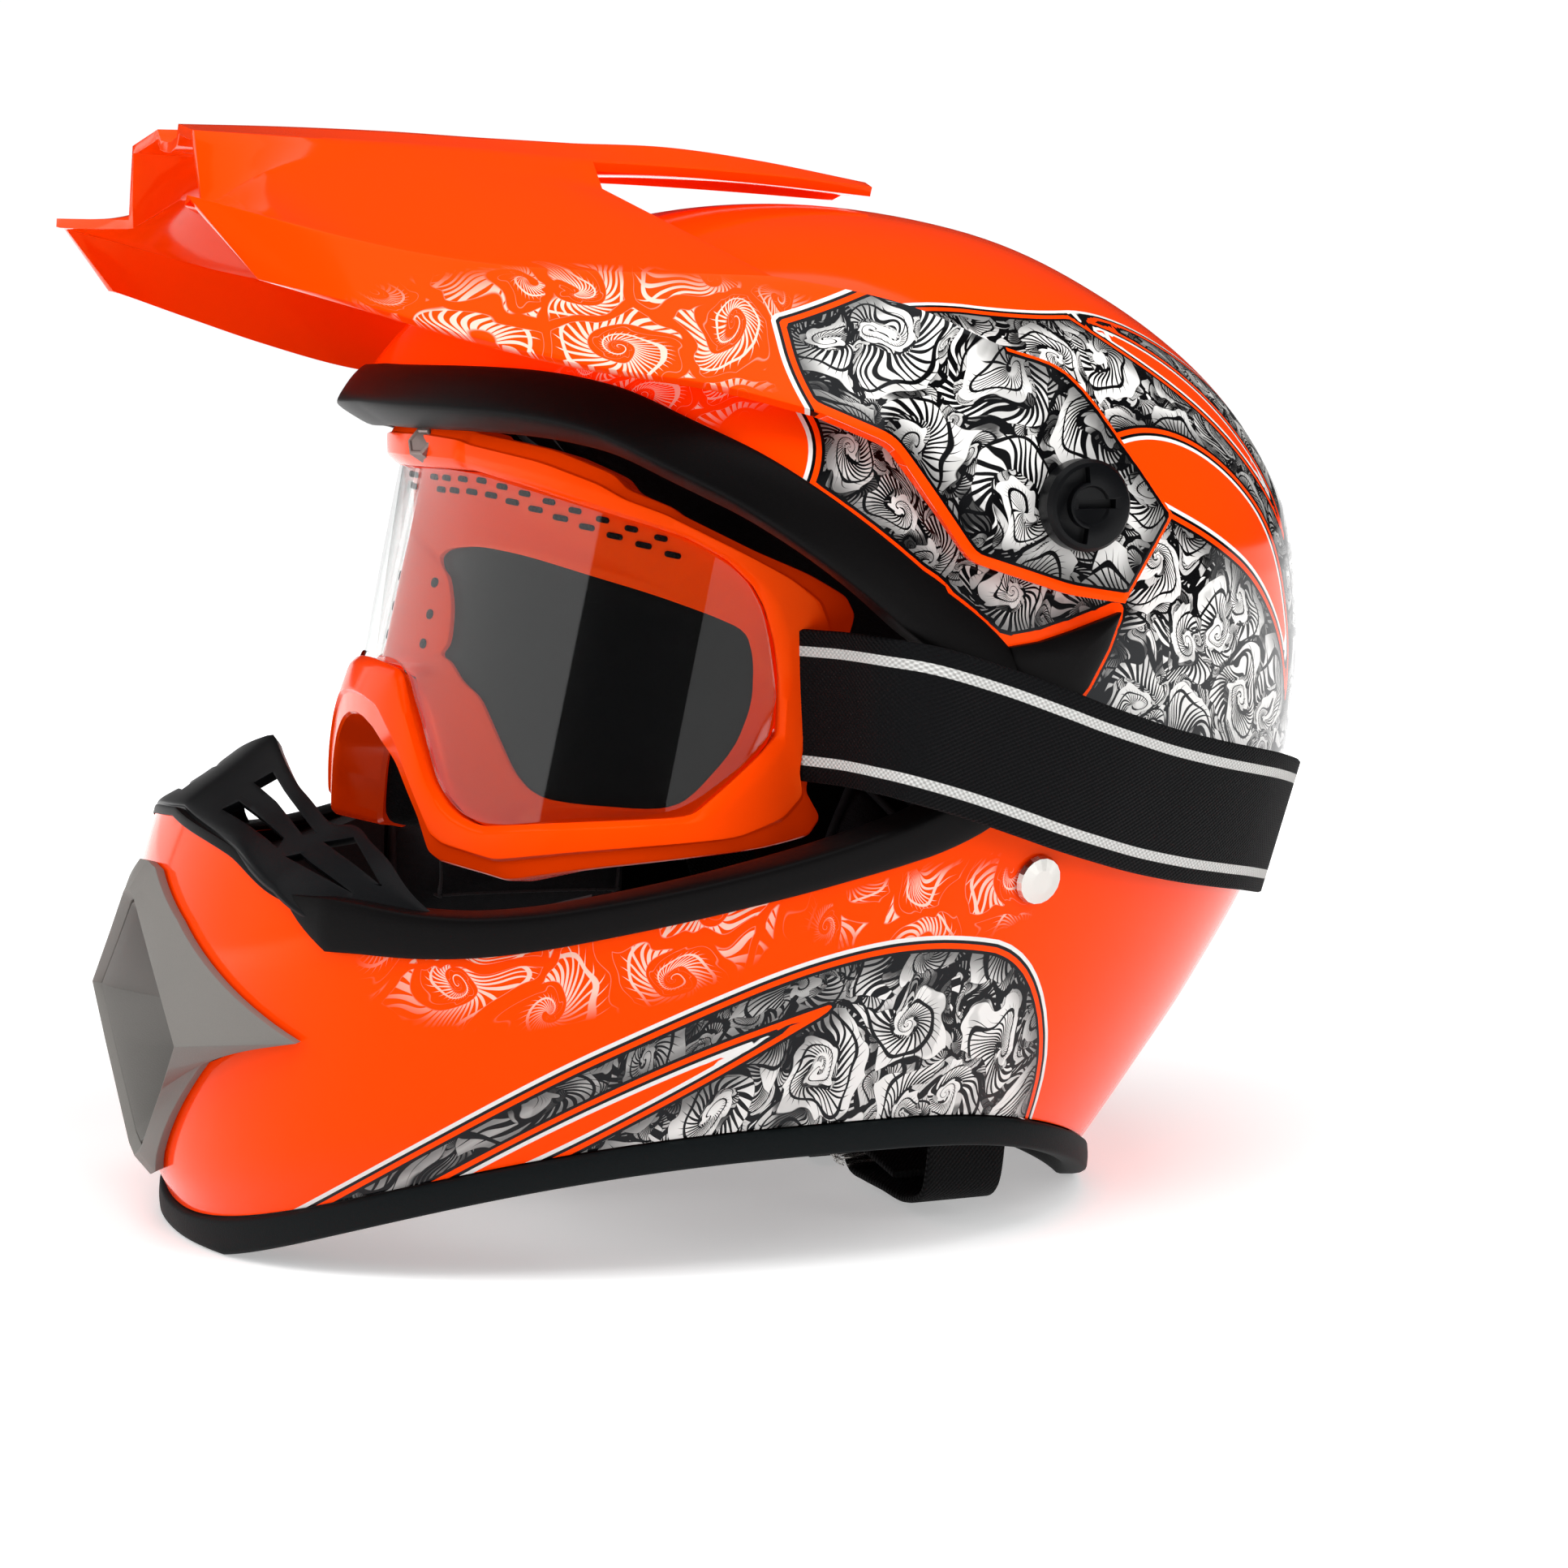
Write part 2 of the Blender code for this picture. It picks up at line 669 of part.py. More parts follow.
def funnel(u, v):
    t = u % 1.0
    mouth = vent_loop(VENT_INNER, t)
    throat = vent_loop(THROAT, t)
    x = mouth[0] * 0.92 * (1 - v) + throat[0] * v
    z = (57 + (mouth[1] - 57) * 0.90) * (1 - v) + throat[1] * v
    return scaled((x, VENT_RIM_Y + 4 + 20 * v ** 1.25, z))


bm = bmesh.new()
sheet(bm, 32, 3, funnel)
welded(bm)
thicken(keep("mouth_vent_insert", bm, (0.10, 0.10, 0.10), 0.6), FUNNEL_WALL, offset=0)

GRILLE_Y = VENT_RIM_Y + 26.4
GRILLE_SLOTS = 5
bm = bmesh.new()
brick(bm, scaled((0, GRILLE_Y, 57)), (17 * mm, 2 * mm, 44 * mm * TALL))
grille = keep("mouth_vent_grille", bm, (0.05, 0.05, 0.05), 0.6)
bm = bmesh.new()
for k in range(GRILLE_SLOTS):
    slot_z = 57 + 7.5 * (k - (GRILLE_SLOTS - 1) / 2)
    brick(bm, scaled((0, GRILLE_Y, slot_z)), (10 * mm, 8 * mm, 4.4 * mm * TALL))
cut(grille, keep("grille cutter", bm, BLACK, group=cutters))

# Peak: centre plateau with a trough, valleys, creased flanges, ears and a rear spoiler.
# Rows run from the front lip back; columns run from the middle out to the lower edge.
PEAK_MIDDLE = ((0, -148, 281), (0, -122, 280), (0, -95, 279), (0, -72, 278), (0, -58, 277.5), (0, -44, 277))
PEAK_TROUGH = ((9, -148.3, 282), (8.5, -122, 280), (8, -95, 279), (8, -72, 278), (8, -58, 277.5),
               (8, -44, 277))
PEAK_RIDGE = ((12, -148.5, 285), (11.5, -122, 285), (11, -95, 284.5), (11, -72, 283.5), (11, -58, 283),
              (11, -44, 282.5))
PEAK_PLATEAU = ((36, -150, 282), (33, -122, 281), (31, -95, 280), (29, -72, 279), (28, -58, 278),
                (27, -44, 277))
PEAK_VALLEY = ((43, -152, 260), (41, -122, 264), (40, -95, 266), (40, -72, 267), (40, -58, 266.5),
               (40, -46, 266))
PEAK_CREASE = ((80, -162, 269), (87, -124, 257), (93, -97, 250.5), (98, -71, 247.5), (99, -45, 247),
               (101, -24, 246.5))
PEAK_EDGE = ((86, -147, 245), (95, -124, 239), (102, -101, 232), (109, -76, 225.5), (117, -45, 220.5),
             (123.5, -22, 214.5))
EAR_TOP = (PEAK_CREASE[-2], PEAK_CREASE[-1], (113, 5, 240), (128, 24, 230), (EAR_X, 40, 223),
           (EAR_X, 57, 205), (EAR_X, 64, 188))
EAR_EDGE = (PEAK_EDGE[-2], PEAK_EDGE[-1], (129.5, -5, 203), (132.5, 10, 182), (EAR_X, 24, 171.5),
            (EAR_X, 40, 167.5), (EAR_X, 54, 169))
SPOILER_ROWS = (
    ((0, -58, 277.5), (0, -44, 277), (0, -18, 277), (0, 10, 276), (0, 40, 273.4)),
    ((8, -58, 277.5), (8, -44, 277), (8, -18, 277.3), (7, 10, 276.2), (5, 41, 273.4)),
    ((11, -58, 283), (11, -44, 282.5), (11, -18, 282), (9, 10, 279), (7, 41, 274)),
    ((28, -58, 278), (27, -44, 277), (24, -18, 276), (20, 10, 274.5), (14, 40, 272.4)),
)
CROSS = (PEAK_MIDDLE, PEAK_TROUGH, PEAK_RIDGE, PEAK_PLATEAU, PEAK_VALLEY, PEAK_CREASE, PEAK_EDGE)
SPANS = (1, 1, 2, 1, 3, 3)


def peak_row(points):
    # Columns of one half row, split evenly between the named lines.
    row = []
    for k, count in enumerate(SPANS):
        for n in range(count):
            row.append(points[k] + (points[k + 1] - points[k]) * n / count)
    row.append(points[-1])
    return row


def mirrored(row):
    return [np.array((-p[0], p[1], p[2])) for p in row[:0:-1]] + row


def strip(bm, rows):
    last_row = len(rows) - 1
    last_column = len(rows[0]) - 1

    def lay(u, v):
        return scaled(rows[int(round(v * last_row))][int(round(u * last_column))])

    sheet(bm, last_column, last_row, lay)


bm = bmesh.new()
strip(bm, [mirrored(peak_row([along(line, r / 9) for line in CROSS])) for r in range(10)])
ear_rows = []
for r in range(9):
    t = 1 / 6 + 5 / 6 * r / 8
    top = along(EAR_TOP, t)
    edge = along(EAR_EDGE, t)
    ear_rows.append([top + (edge - top) * n / 3 for n in range(4)])
strip(bm, ear_rows)
strip(bm, [[np.array((-p[0], p[1], p[2])) for p in row[::-1]] for row in ear_rows])
back_rows = []
for r in range(7):
    t = 0.25 + 0.75 * r / 6
    lines = [along(line, t) for line in SPOILER_ROWS]
    row = [lines[0], lines[1], lines[2], (lines[2] + lines[3]) / 2, lines[3]]
    back_rows.append(mirrored(row))
strip(bm, back_rows)
welded(bm, 5e-5)
for f in bm.faces:
    f.normal_update()
crest = max(bm.faces, key=lambda f: f.calc_center_median().z)
if crest.normal.z < 0:
    bmesh.ops.reverse_faces(bm, faces=bm.faces)
PIVOT = scaled((0, PIVOT_Y, PIVOT_Z))
CUTTER_REACH = 12 * mm
peak = thicken(keep("peak", bm, ORANGE, 0.25, pivot=PIVOT), PEAK_WALL)

bm = bmesh.new()
ear_plane = EAR_X * WIDE * mm
EAR_HOLE_RADIUS = PIVOT_BORE_RADIUS + 0.2 * mm
for side in (1, -1):
    inside = (side * ear_plane - CUTTER_REACH, PIVOT.y, PIVOT.z)
    outside = (side * ear_plane + CUTTER_REACH, PIVOT.y, PIVOT.z)
    rod(bm, inside, outside, EAR_HOLE_RADIUS)
cut(peak, keep("peak cutter", bm, BLACK, group=cutters))

# Side pivots: a bonded boss, and a knob screw through the ear, each side.
pivot_cutter = bmesh.new()
for side, word in ((1, "left"), (-1, "right")):
    face_x = ear_plane - PEAK_WALL - 2 * SEAT_GAP
    s, angle = find_skin((None, PIVOT_Y, PIVOT_Z), level(PIVOT_Z, math.radians(105)), math.radians(105))
    foot_x = skin(s, angle).x

    def boss(u, v, side=side, face_x=face_x):
        # Around the boss: outer wall, front ring, bore, back ring on the shell.
        k = int(round(v * 4)) % 4
        radius = (BOSS_RADIUS, BOSS_RADIUS, PIVOT_BORE_RADIUS, PIVOT_BORE_RADIUS)[k]
        y = PIVOT.y + radius * math.cos(2 * math.pi * u)
        z = PIVOT.z + radius * math.sin(2 * math.pi * u)
        if k in (1, 2):
            return Vector((side * face_x, y, z))
        at, turn = find_skin((None, y / (LONG * mm), z / (TALL * mm)), s, angle)
        return Vector((side * (skin(at, turn).x + 0.5 * mm), y, z))

    bm = bmesh.new()
    sheet(bm, 20, 4, boss)
    welded(bm)
    outward(bm)
    keep(f"peak_boss_{word}", bm, BLACK, 0.6)
    head = ear_plane + SEAT_GAP
    reach = head - (foot_x - SHELL_WALL)
    turned(f"peak_screw_{word}",
           ((0, -reach), (PIVOT_SHAFT_RADIUS, -reach), (PIVOT_SHAFT_RADIUS, 0), (KNOB_RADIUS, 0),
            (KNOB_RADIUS, KNOB_DEPTH * 0.7), (KNOB_RADIUS - 2 * mm, KNOB_DEPTH), (0, KNOB_DEPTH)),
           (side * head, PIVOT.y, PIVOT.z), (side, 0, 0), BLACK, 0.5, 0.0)
    inside = (side * (foot_x - CUTTER_REACH), PIVOT.y, PIVOT.z)
    outside = (side * (foot_x + CUTTER_REACH), PIVOT.y, PIVOT.z)
    rod(pivot_cutter, inside, outside, PIVOT_BORE_RADIUS)
cut(shell, keep("pivot cutter", pivot_cutter, BLACK, group=cutters))

# Goggles: outlines of the frame and the lens opening as (angle, height) on the lens cylinder.
RIM = ((0, 29, 0, 17), (20, 28.5, 20, 18), (40, 26, 38, 16), (54, 21, 53, 13.8), (66, 16.5, 65, 11.5),
       (78, 12, 75, 6.5), (90, 8, 80.5, -1), (96, 2, 83.5, -10), (95, -20, 86, -22), (93, -44, 87, -31),
       (89, -57, 82, -43), (75, -66, 73, -56.5), (58, -74.5, 56, -63), (46, -81, 40, -69), (33, -80, 31, -65),
       (24, -66, 21, -48), (13, -55, 14, -36.5), (0, -50, 0, -34.5))


def goggle_point(turn, up, radius):
    angle = math.radians(turn)
    x = GOGGLE_SPREAD * radius * math.sin(angle)
    ahead = radius * math.cos(angle)
    y = GOGGLE_AXIS_Y + up * math.sin(GOGGLE_LEAN) - ahead * math.cos(GOGGLE_LEAN)
    z = GOGGLE_AXIS_Z + up * math.cos(GOGGLE_LEAN) + ahead * math.sin(GOGGLE_LEAN)
    return scaled((x, y, z))


def rim_at(t):
    # Outer and inner outline points, t from 0 to 1 round the frame from the top.
    if t <= 0.5:
        return along(RIM, 2 * t)
    a, b, c, d = along(RIM, 2 - 2 * t)
    return np.array((-a, b, -c, d))


def rim_ring(section):
    # A ring between the two outlines: (share from inner to outer, radius) corners.
    bm = bmesh.new()
    count = len(section)

    def lay(u, v):
        share, radius = section[int(round(v * count)) % count]
        a, b, c, d = rim_at(u % 1.0)
        return goggle_point(c + (a - c) * share, d + (b - d) * share, radius)

    sheet(bm, 48, count, lay)
    welded(bm)
    outward(bm)
    return bm


R = GOGGLE_RADIUS
FRAME_DEPTH = 13
FOAM_GAP = 1
FOAM_DEPTH = 10
FRAME_BACK = R - FRAME_DEPTH
FOAM_FRONT = FRAME_BACK - FOAM_GAP
FOAM_BACK = FOAM_FRONT - FOAM_DEPTH
FRAME_SECTION = ((0.0, R - 1), (0.0, R + 2), (0.55, R + 3.5), (1.0, R), (1.0, FRAME_BACK), (0.25, FRAME_BACK))
FOAM_SECTION = ((0.3, FOAM_FRONT), (0.9, FOAM_FRONT), (0.85, FOAM_BACK), (0.4, FOAM_BACK))
keep("goggle_frame", rim_ring(FRAME_SECTION), ORANGE, 0.3)
keep("goggle_foam", rim_ring(FOAM_SECTION), (0.03, 0.03, 0.03), 0.95)

# Lens: a thin wall inside the frame's opening.
LENS_END = 85.2
LENS_EASE = 1.5 * (SPREAD - 1)
LENS_TOP = ((0, 16.2), (20, 17.2), (38, 15.2), (53, 13.0), (65, 10.7), (75, 5.6), (80, -2), (83, -11.5),
            (LENS_END, -22))
LENS_BOTTOM = ((0, -33.5), (12, -33.8), (20.5, -43.8), (30.3, -62.2), (40, -67.8), (56, -61.7), (72.5, -54.2),
               (81.3, -41.5), (LENS_END, -32))


def lens_wall(u, v):
    turn = LENS_END * (2 * u - 1)
    top = through(LENS_TOP, abs(turn)) - LENS_EASE
    bottom = through(LENS_BOTTOM, abs(turn)) + LENS_EASE
    return goggle_point(turn, bottom + (top - bottom) * v, R - 1.2)


bm = bmesh.new()
sheet(bm, 28, 4, lens_wall)
for f in bm.faces:
    f.normal_update()
thicken(keep("goggle_lens", bm, (0.8, 0.82, 0.85), 0.05), LENS_DEPTH * mm, offset=1)

bm = bmesh.new()
hub = goggle_point(0, 20.5, R + 3.6)
ahead = Vector((0, -math.cos(GOGGLE_LEAN), math.sin(GOGGLE_LEAN)))
rod(bm, hub, hub + ahead * 1.6 * mm, 5.5 * mm, segments=6)
keep("goggle_badge", bm, STEEL, 0.3, 0.9)

# Goggle strap: from the frame's left end, over the port trim, round the back and home.
STRAP_ENDS = ((94.5, -6.5, 141), (110, -6.5, 141.2), (125, -5, 141), (135, 2, 139.5))
STRAP_FALL = ((94, 136), (100, 130), (108, 122.5), (120, 114), (140, 105), (160, 98), (180, 95))
STRAP_LIFT = ((94, 7.4), (104, 6.8), (110, 5.8), (118, 4.0), (140, 2.8), (180, 2.6))
# A strap wider for the port's height turns out further ahead of the trim's slanting lower edge.
TRIM_BAND = 11
STRAP_AHEAD = 4.0 * ((STRAP_WIDTH / (2 * mm) + TRIM_BAND) / TALL - 30)
left_path = [scaled((x, y - STRAP_AHEAD, z)) for x, y, z in STRAP_ENDS]
left_out = [Vector((0.15, -1, 0)), Vector((0.15, -1, 0)), Vector((0.5, -1, 0)), Vector((1, -0.4, 0))]
for turn in (95, 101, 105, 110, 116, 124, 132, 140, 150, 160, 170):
    angle = math.radians(turn)
    s = level(through(STRAP_FALL, turn), angle)
    left_path.append(skin(s, angle, through(STRAP_LIFT, turn) * mm))
    left_out.append(skin_normal(s, angle))
rear_place = level(95, math.pi)
rear_point = skin(rear_place, math.pi, 2.4 * mm)
right_path = [Vector((-p.x, p.y, p.z)) for p in left_path[::-1]]
right_out = [Vector((-p.x, p.y, p.z)) for p in left_out[::-1]]
strap_path = left_path + [rear_point] + right_path
strap_out = left_out + [skin_normal(rear_place, math.pi)] + right_out
strap_across = []
for i, out in enumerate(strap_out):
    ahead_point = strap_path[min(i + 1, len(strap_path) - 1)]
    behind_point = strap_path[max(i - 1, 0)]
    run = (ahead_point - behind_point).normalized()
    strap_across.append(run.cross(out).normalized())
ribbon("goggle_strap", strap_path, strap_across, STRAP_WIDTH, STRAP_DEPTH, BLACK, 0.9)

# Chin straps on rivets, with two rings in the left strap's end loop.
rivet_cutter = bmesh.new()
rivet_level = level(RIVET_Z, math.radians(105))
rivet_s, rivet_angle = find_skin((None, RIVET_Y, RIVET_Z), rivet_level, math.radians(105))
rivet_foot = skin(rivet_s, rivet_angle)
rivet_axis = skin_normal(rivet_s, rivet_angle)
STRAP_GAP = 1.5 * mm
RIVET_SEAT = 0.7 * mm
INSIDE = SHELL_WALL + STRAP_GAP + WEBBING_DEPTH
LEFT_RUN = ((94, 66), (84, 42), (79, 26), (74, 10), (62, 5.2), (46, 5.2), (34, 5.2), (26, 5.6), (22.2, 9),
            (26, 12.4), (34, 13), (46, 11.5), (55, 10.2))
RIGHT_RUN = ((94, 66), (84, 42), (79, 26), (75, 10), (66, 4.2), (40, 3.6), (20, 3.6), (4, 3.6))
for side, word, run_points in ((1, "left", LEFT_RUN), (-1, "right", RIGHT_RUN)):
    axis = Vector((side * rivet_axis.x, rivet_axis.y, rivet_axis.z))
    foot = Vector((side * rivet_foot.x, rivet_foot.y, rivet_foot.z))
    rod(rivet_cutter, foot - axis * CUTTER_REACH, foot + axis * CUTTER_REACH, RIVET_HOLE_RADIUS, segments=18)
    inner_head = -INSIDE - RIVET_SEAT
    inner_radius = RIVET_HEAD_RADIUS - 2 * mm
    inner_end = inner_head - 1.7 * mm
    turned(f"chin_strap_rivet_{word}",
           ((0, inner_end), (inner_radius, inner_end), (inner_radius, inner_head), (RIVET_RADIUS, inner_head),
            (RIVET_RADIUS, RIVET_SEAT), (RIVET_HEAD_RADIUS, RIVET_SEAT),
            (RIVET_HEAD_RADIUS - 0.5 * mm, RIVET_SEAT + 1.3 * mm),
            (RIVET_HEAD_RADIUS - 3.5 * mm, RIVET_SEAT + 2.1 * mm), (0, RIVET_SEAT + 2.1 * mm)),
           foot, axis, STEEL, 0.35, 0.9)
    flat = (Vector((0, 1, 0)) - axis * axis.y).normalized()
    down = axis.cross(flat)
    if down.z > 0:
        down = -down
    start = foot - axis * (SHELL_WALL + STRAP_GAP + WEBBING_DEPTH / 2)
    centres = [start + down * drop * mm for drop in (-10, -5, 0, 6, 12)]
    across = [flat] * len(centres)
    path = [np.array(centres[-2]) / mm, np.array(centres[-1]) / mm]
    for x, z in run_points:
        path.append(np.array((side * x * WIDE, RIVET_Y * LONG, z)))
    steps = 24
    for n in range(1, steps + 1):
        t = (1 + (len(path) - 2) * n / steps) / (len(path) - 1)
        centres.append(Vector(along(path, t)) * mm)
        ease = min(n / 5, 1)
        across.append((flat * (1 - ease) + Vector((0, 1, 0)) * ease).normalized())
    strap = ribbon(f"chin_strap_{word}", centres, across, WEBBING_WIDTH, WEBBING_DEPTH, BLACK, 0.9)
    hole = bmesh.new()
    rod(hole, start - axis * 0.005, start + axis * 0.005, RIVET_HOLE_RADIUS, segments=18)
    cut(strap, keep(f"strap cutter {word}", hole, BLACK, group=cutters))
cut(shell, keep("rivet cutter", rivet_cutter, BLACK, group=cutters))

# Each ring: place of its bar, rest lift, room beside the webbing and reach.
RING_PLACES = (("lower", 27.6, 7.9, 0.0, 2.4, 15.5), ("upper", 30.8, 10.7, 0.22, 6.0, 21.0))
for word, bar_x, bar_z, lift, room, reach in RING_PLACES:
    half = WEBBING_WIDTH / (2 * mm) + room
    curve = bpy.data.curves.new(f"d_ring_{word}", "CURVE")
    curve.dimensions = "3D"
    curve.bevel_depth = RING_WIRE / 2
    curve.bevel_resolution = 2
    spline = curve.splines.new("POLY")
    corners = [(0, -half), (0, 0), (0, half)]
    for n in range(9):
        bend = math.pi / 2 - math.pi * n / 8
        corners.append((-0.3 * reach - 0.7 * reach * math.cos(bend), half * math.sin(bend)))
    spline.points.add(len(corners) - 1)
    for point, (x, y) in zip(spline.points, corners):
        point.co = (x * mm, y * mm, 0, 1)
    spline.use_cyclic_u = True
    ring = bpy.data.objects.new(f"d_ring_{word}", curve)
    helmet.objects.link(ring)
    ring.parent = stand
    ring.location = (bar_x * WIDE * mm, RIVET_Y * LONG * mm, bar_z * mm)
    ring.rotation_euler = (0, lift, 0)
    curve.materials.append(finish(f"d_ring_{word}", STEEL, 0.3, 0.95))

# The frame's origin is under the middle of the whole helmet, on the floor.
bpy.context.view_layer.update()
graph = bpy.context.evaluated_depsgraph_get()
ends = []
for piece in helmet.objects:
    if piece.type == "EMPTY":
        continue
    shape = piece.evaluated_get(graph)
    ends += [(shape.matrix_world @ v.co).y for v in shape.to_mesh().vertices]
stand.location.y = -(min(ends) + max(ends)) / 2
for cutter in cutters.objects:
    cutter.parent = stand
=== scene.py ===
# An off-road helmet with its goggles fitted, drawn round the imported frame.
import math
import bmesh
import bpy
import numpy as np
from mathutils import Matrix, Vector


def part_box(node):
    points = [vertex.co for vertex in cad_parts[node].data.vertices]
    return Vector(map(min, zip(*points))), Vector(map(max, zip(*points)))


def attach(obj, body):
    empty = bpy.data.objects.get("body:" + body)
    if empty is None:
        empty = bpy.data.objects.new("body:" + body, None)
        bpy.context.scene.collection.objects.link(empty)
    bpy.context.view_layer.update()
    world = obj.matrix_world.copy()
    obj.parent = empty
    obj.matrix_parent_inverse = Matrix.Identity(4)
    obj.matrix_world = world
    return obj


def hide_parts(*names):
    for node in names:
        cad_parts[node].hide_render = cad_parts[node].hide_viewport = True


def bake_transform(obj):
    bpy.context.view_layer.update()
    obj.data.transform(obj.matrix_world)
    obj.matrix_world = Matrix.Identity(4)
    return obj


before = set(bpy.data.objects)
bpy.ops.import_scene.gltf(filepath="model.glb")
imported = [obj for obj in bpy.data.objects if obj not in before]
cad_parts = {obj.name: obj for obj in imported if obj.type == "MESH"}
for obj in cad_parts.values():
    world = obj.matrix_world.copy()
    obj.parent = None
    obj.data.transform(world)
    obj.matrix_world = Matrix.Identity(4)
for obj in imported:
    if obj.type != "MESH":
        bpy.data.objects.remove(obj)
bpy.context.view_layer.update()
screwLow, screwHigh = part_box("peak_screw_left")
shiftY = (screwLow.y + screwHigh.y) * 500 - 43
scene = bpy.context.scene
sides = ((1, "left"), (-1, "right"))


# Mesh tools: all drawing is in millimetres with the frame's middle moved by shiftY.
def newObject(name, mesh):
    obj = bpy.data.objects.new(name, mesh)
    scene.collection.objects.link(obj)
    return obj


def discard(obj):
    mesh = obj.data
    bpy.data.objects.remove(obj)
    bpy.data.meshes.remove(mesh)


def addMark(mesh, key, values):
    mark = mesh.attributes.new(key, "FLOAT_VECTOR", "POINT")
    mark.data.foreach_set("vector", np.ascontiguousarray(values, float).ravel())


def readPoints(mesh, key="co"):
    values = np.empty(len(mesh.vertices) * 3)
    mesh.vertices.foreach_get(key, values)
    return values.reshape(-1, 3)


def placed(points):
    # Drawing points in the frame's metres.
    return (np.asarray(points, float).reshape(-1, 3) + (0, shiftY, 0)) * 0.001


def solid(name, points, faces, marks=None, weld=1e-6, outward=True):
    mesh = bpy.data.meshes.new(name)
    mesh.from_pydata(placed(points).tolist(), [], [list(map(int, f)) for f in faces])
    for key, values in (marks or {}).items():
        addMark(mesh, key, values)
    bm = bmesh.new()
    bm.from_mesh(mesh)
    bmesh.ops.remove_doubles(bm, verts=bm.verts, dist=weld)
    bmesh.ops.dissolve_degenerate(bm, edges=bm.edges, dist=weld)
    if outward:
        bmesh.ops.recalc_face_normals(bm, faces=bm.faces)
    bm.to_mesh(mesh)
    bm.free()
    return newObject(name, mesh)


def grid(rows, columns, wrapRows=False, wrapColumns=False):
    r = np.arange(rows if wrapRows else rows - 1)
    c = np.arange(columns if wrapColumns else columns - 1)
    r, c = np.meshgrid(r, c, indexing="ij")
    r2 = (r + 1) % rows
    c2 = (c + 1) % columns
    faces = (r * columns + c, r * columns + c2, r2 * columns + c2, r2 * columns + c)
    return np.stack(faces, -1).reshape(-1, 4)


def tube(name, rings, closed=True, marks=None):
    count, size, _ = rings.shape
    faces = grid(count, size, closed, True).tolist()
    if not closed:
        faces.append(list(range(size)))
        faces.append([(count - 1) * size + i for i in range(size)])
    return solid(name, rings, faces, marks)


def rounded(loop, times=2, cut=0.2):
    # Corners of a closed outline cut back into curves.
    loop = np.asarray(loop, float)
    for _ in range(times):
        after = np.roll(loop, -1, 0)
        pair = (loop * (1 - cut) + after * cut, loop * cut + after * (1 - cut))
        loop = np.stack(pair, 1).reshape(-1, loop.shape[1])
    return loop


def stepped(points, steps):
    # Even steps from each corner on to the next, without the last corner.
    return np.array([a + (b - a) * n / steps for a, b in zip(points[:-1], points[1:]) for n in range(steps)])


def eased(loop, times=3):
    # A closed run of points, smoothed.
    for _ in range(times):
        loop = (np.roll(loop, 1, 0) + 2 * loop + np.roll(loop, -1, 0)) / 4
    return loop


def modify(obj, kind, **values):
    step = obj.modifiers.new(kind.lower(), kind)
    for key, value in values.items():
        setattr(step, key, value)
    return step


def bevel(obj, width, segments, angle):
    modify(obj, "BEVEL", width=width * 0.001, segments=segments, limit_method="ANGLE",
           angle_limit=math.radians(angle))


def thicken(obj, wall, offset=-1):
    modify(obj, "SOLIDIFY", thickness=wall * 0.001, offset=offset)


def settle(obj):
    # The result of the modifiers becomes the plain mesh.
    graph = bpy.context.evaluated_depsgraph_get()
    made = bpy.data.meshes.new_from_object(obj.evaluated_get(graph), depsgraph=graph)
    old = obj.data
    obj.modifiers.clear()
    obj.data = made
    bpy.data.meshes.remove(old)
    return obj


def cutAway(obj, cutter):
    modify(obj, "BOOLEAN", operation="DIFFERENCE", solver="EXACT", object=cutter)
    settle(obj)
    discard(cutter)


def box(name, middle, size):
    corners = np.array([(x, y, z) for x in (-1, 1) for y in (-1, 1) for z in (-1, 1)]) * np.array(size) / 2
    faces = ((0, 1, 3, 2), (4, 6, 7, 5), (0, 4, 5, 1), (2, 3, 7, 6), (0, 2, 6, 4), (1, 5, 7, 3))
    return solid(name, corners + np.asarray(middle), faces)


def prism(name, near, far):
    # A closed bar between two matching outlines.
    count = len(near)
    faces = [list(range(count)), list(range(count, 2 * count))]
    faces += [(i, (i + 1) % count, (i + 1) % count + count, i + count) for i in range(count)]
    return solid(name, np.concatenate((near, far)), faces)


def faceForward(obj):
    # Turns the faces round where the foremost one looks back.
    if min(obj.data.polygons, key=lambda p: p.center.y).normal.y > 0:
        obj.data.flip_normals()


def turned(name, profile, middle, axis, segments=64):
    # A lathe shape: (radius, reach along the axis) pairs.
    axis = np.asarray(axis, float) / np.linalg.norm(axis)
    first = np.cross(axis, (0, 0, 1) if abs(axis[2]) < 0.9 else (1, 0, 0))
    first /= np.linalg.norm(first)
    second = np.cross(axis, first)
    a = np.linspace(0, 2 * np.pi, segments, endpoint=False)[None, :, None]
    radius = np.array([p[0] for p in profile])[:, None, None]
    reach = np.array([p[1] for p in profile])[:, None, None]
    rings = np.asarray(middle) + axis * reach + radius * (np.cos(a) * first + np.sin(a) * second)
    return solid(name, rings, grid(len(profile), segments, False, True))


def finishPiece(obj, material, body, slot, *nodes, sharp=35):
    if obj.modifiers:
        settle(obj)
    obj.data.materials.clear()
    obj.data.materials.append(material)
    obj.data.shade_smooth()
    obj.data.set_sharp_from_angle(angle=math.radians(sharp))
    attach(obj, body)
    if nodes:
        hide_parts(*nodes)
    return obj


def blendPiece(obj, material, slot, *nodes):
    # A piece that stretches from the helmet to the goggles.
    obj.data.materials.append(material)
    obj.data.shade_smooth()
    obj.data.set_sharp_from_angle(angle=math.radians(60))
    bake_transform(obj)
    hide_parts(*nodes)
    return obj


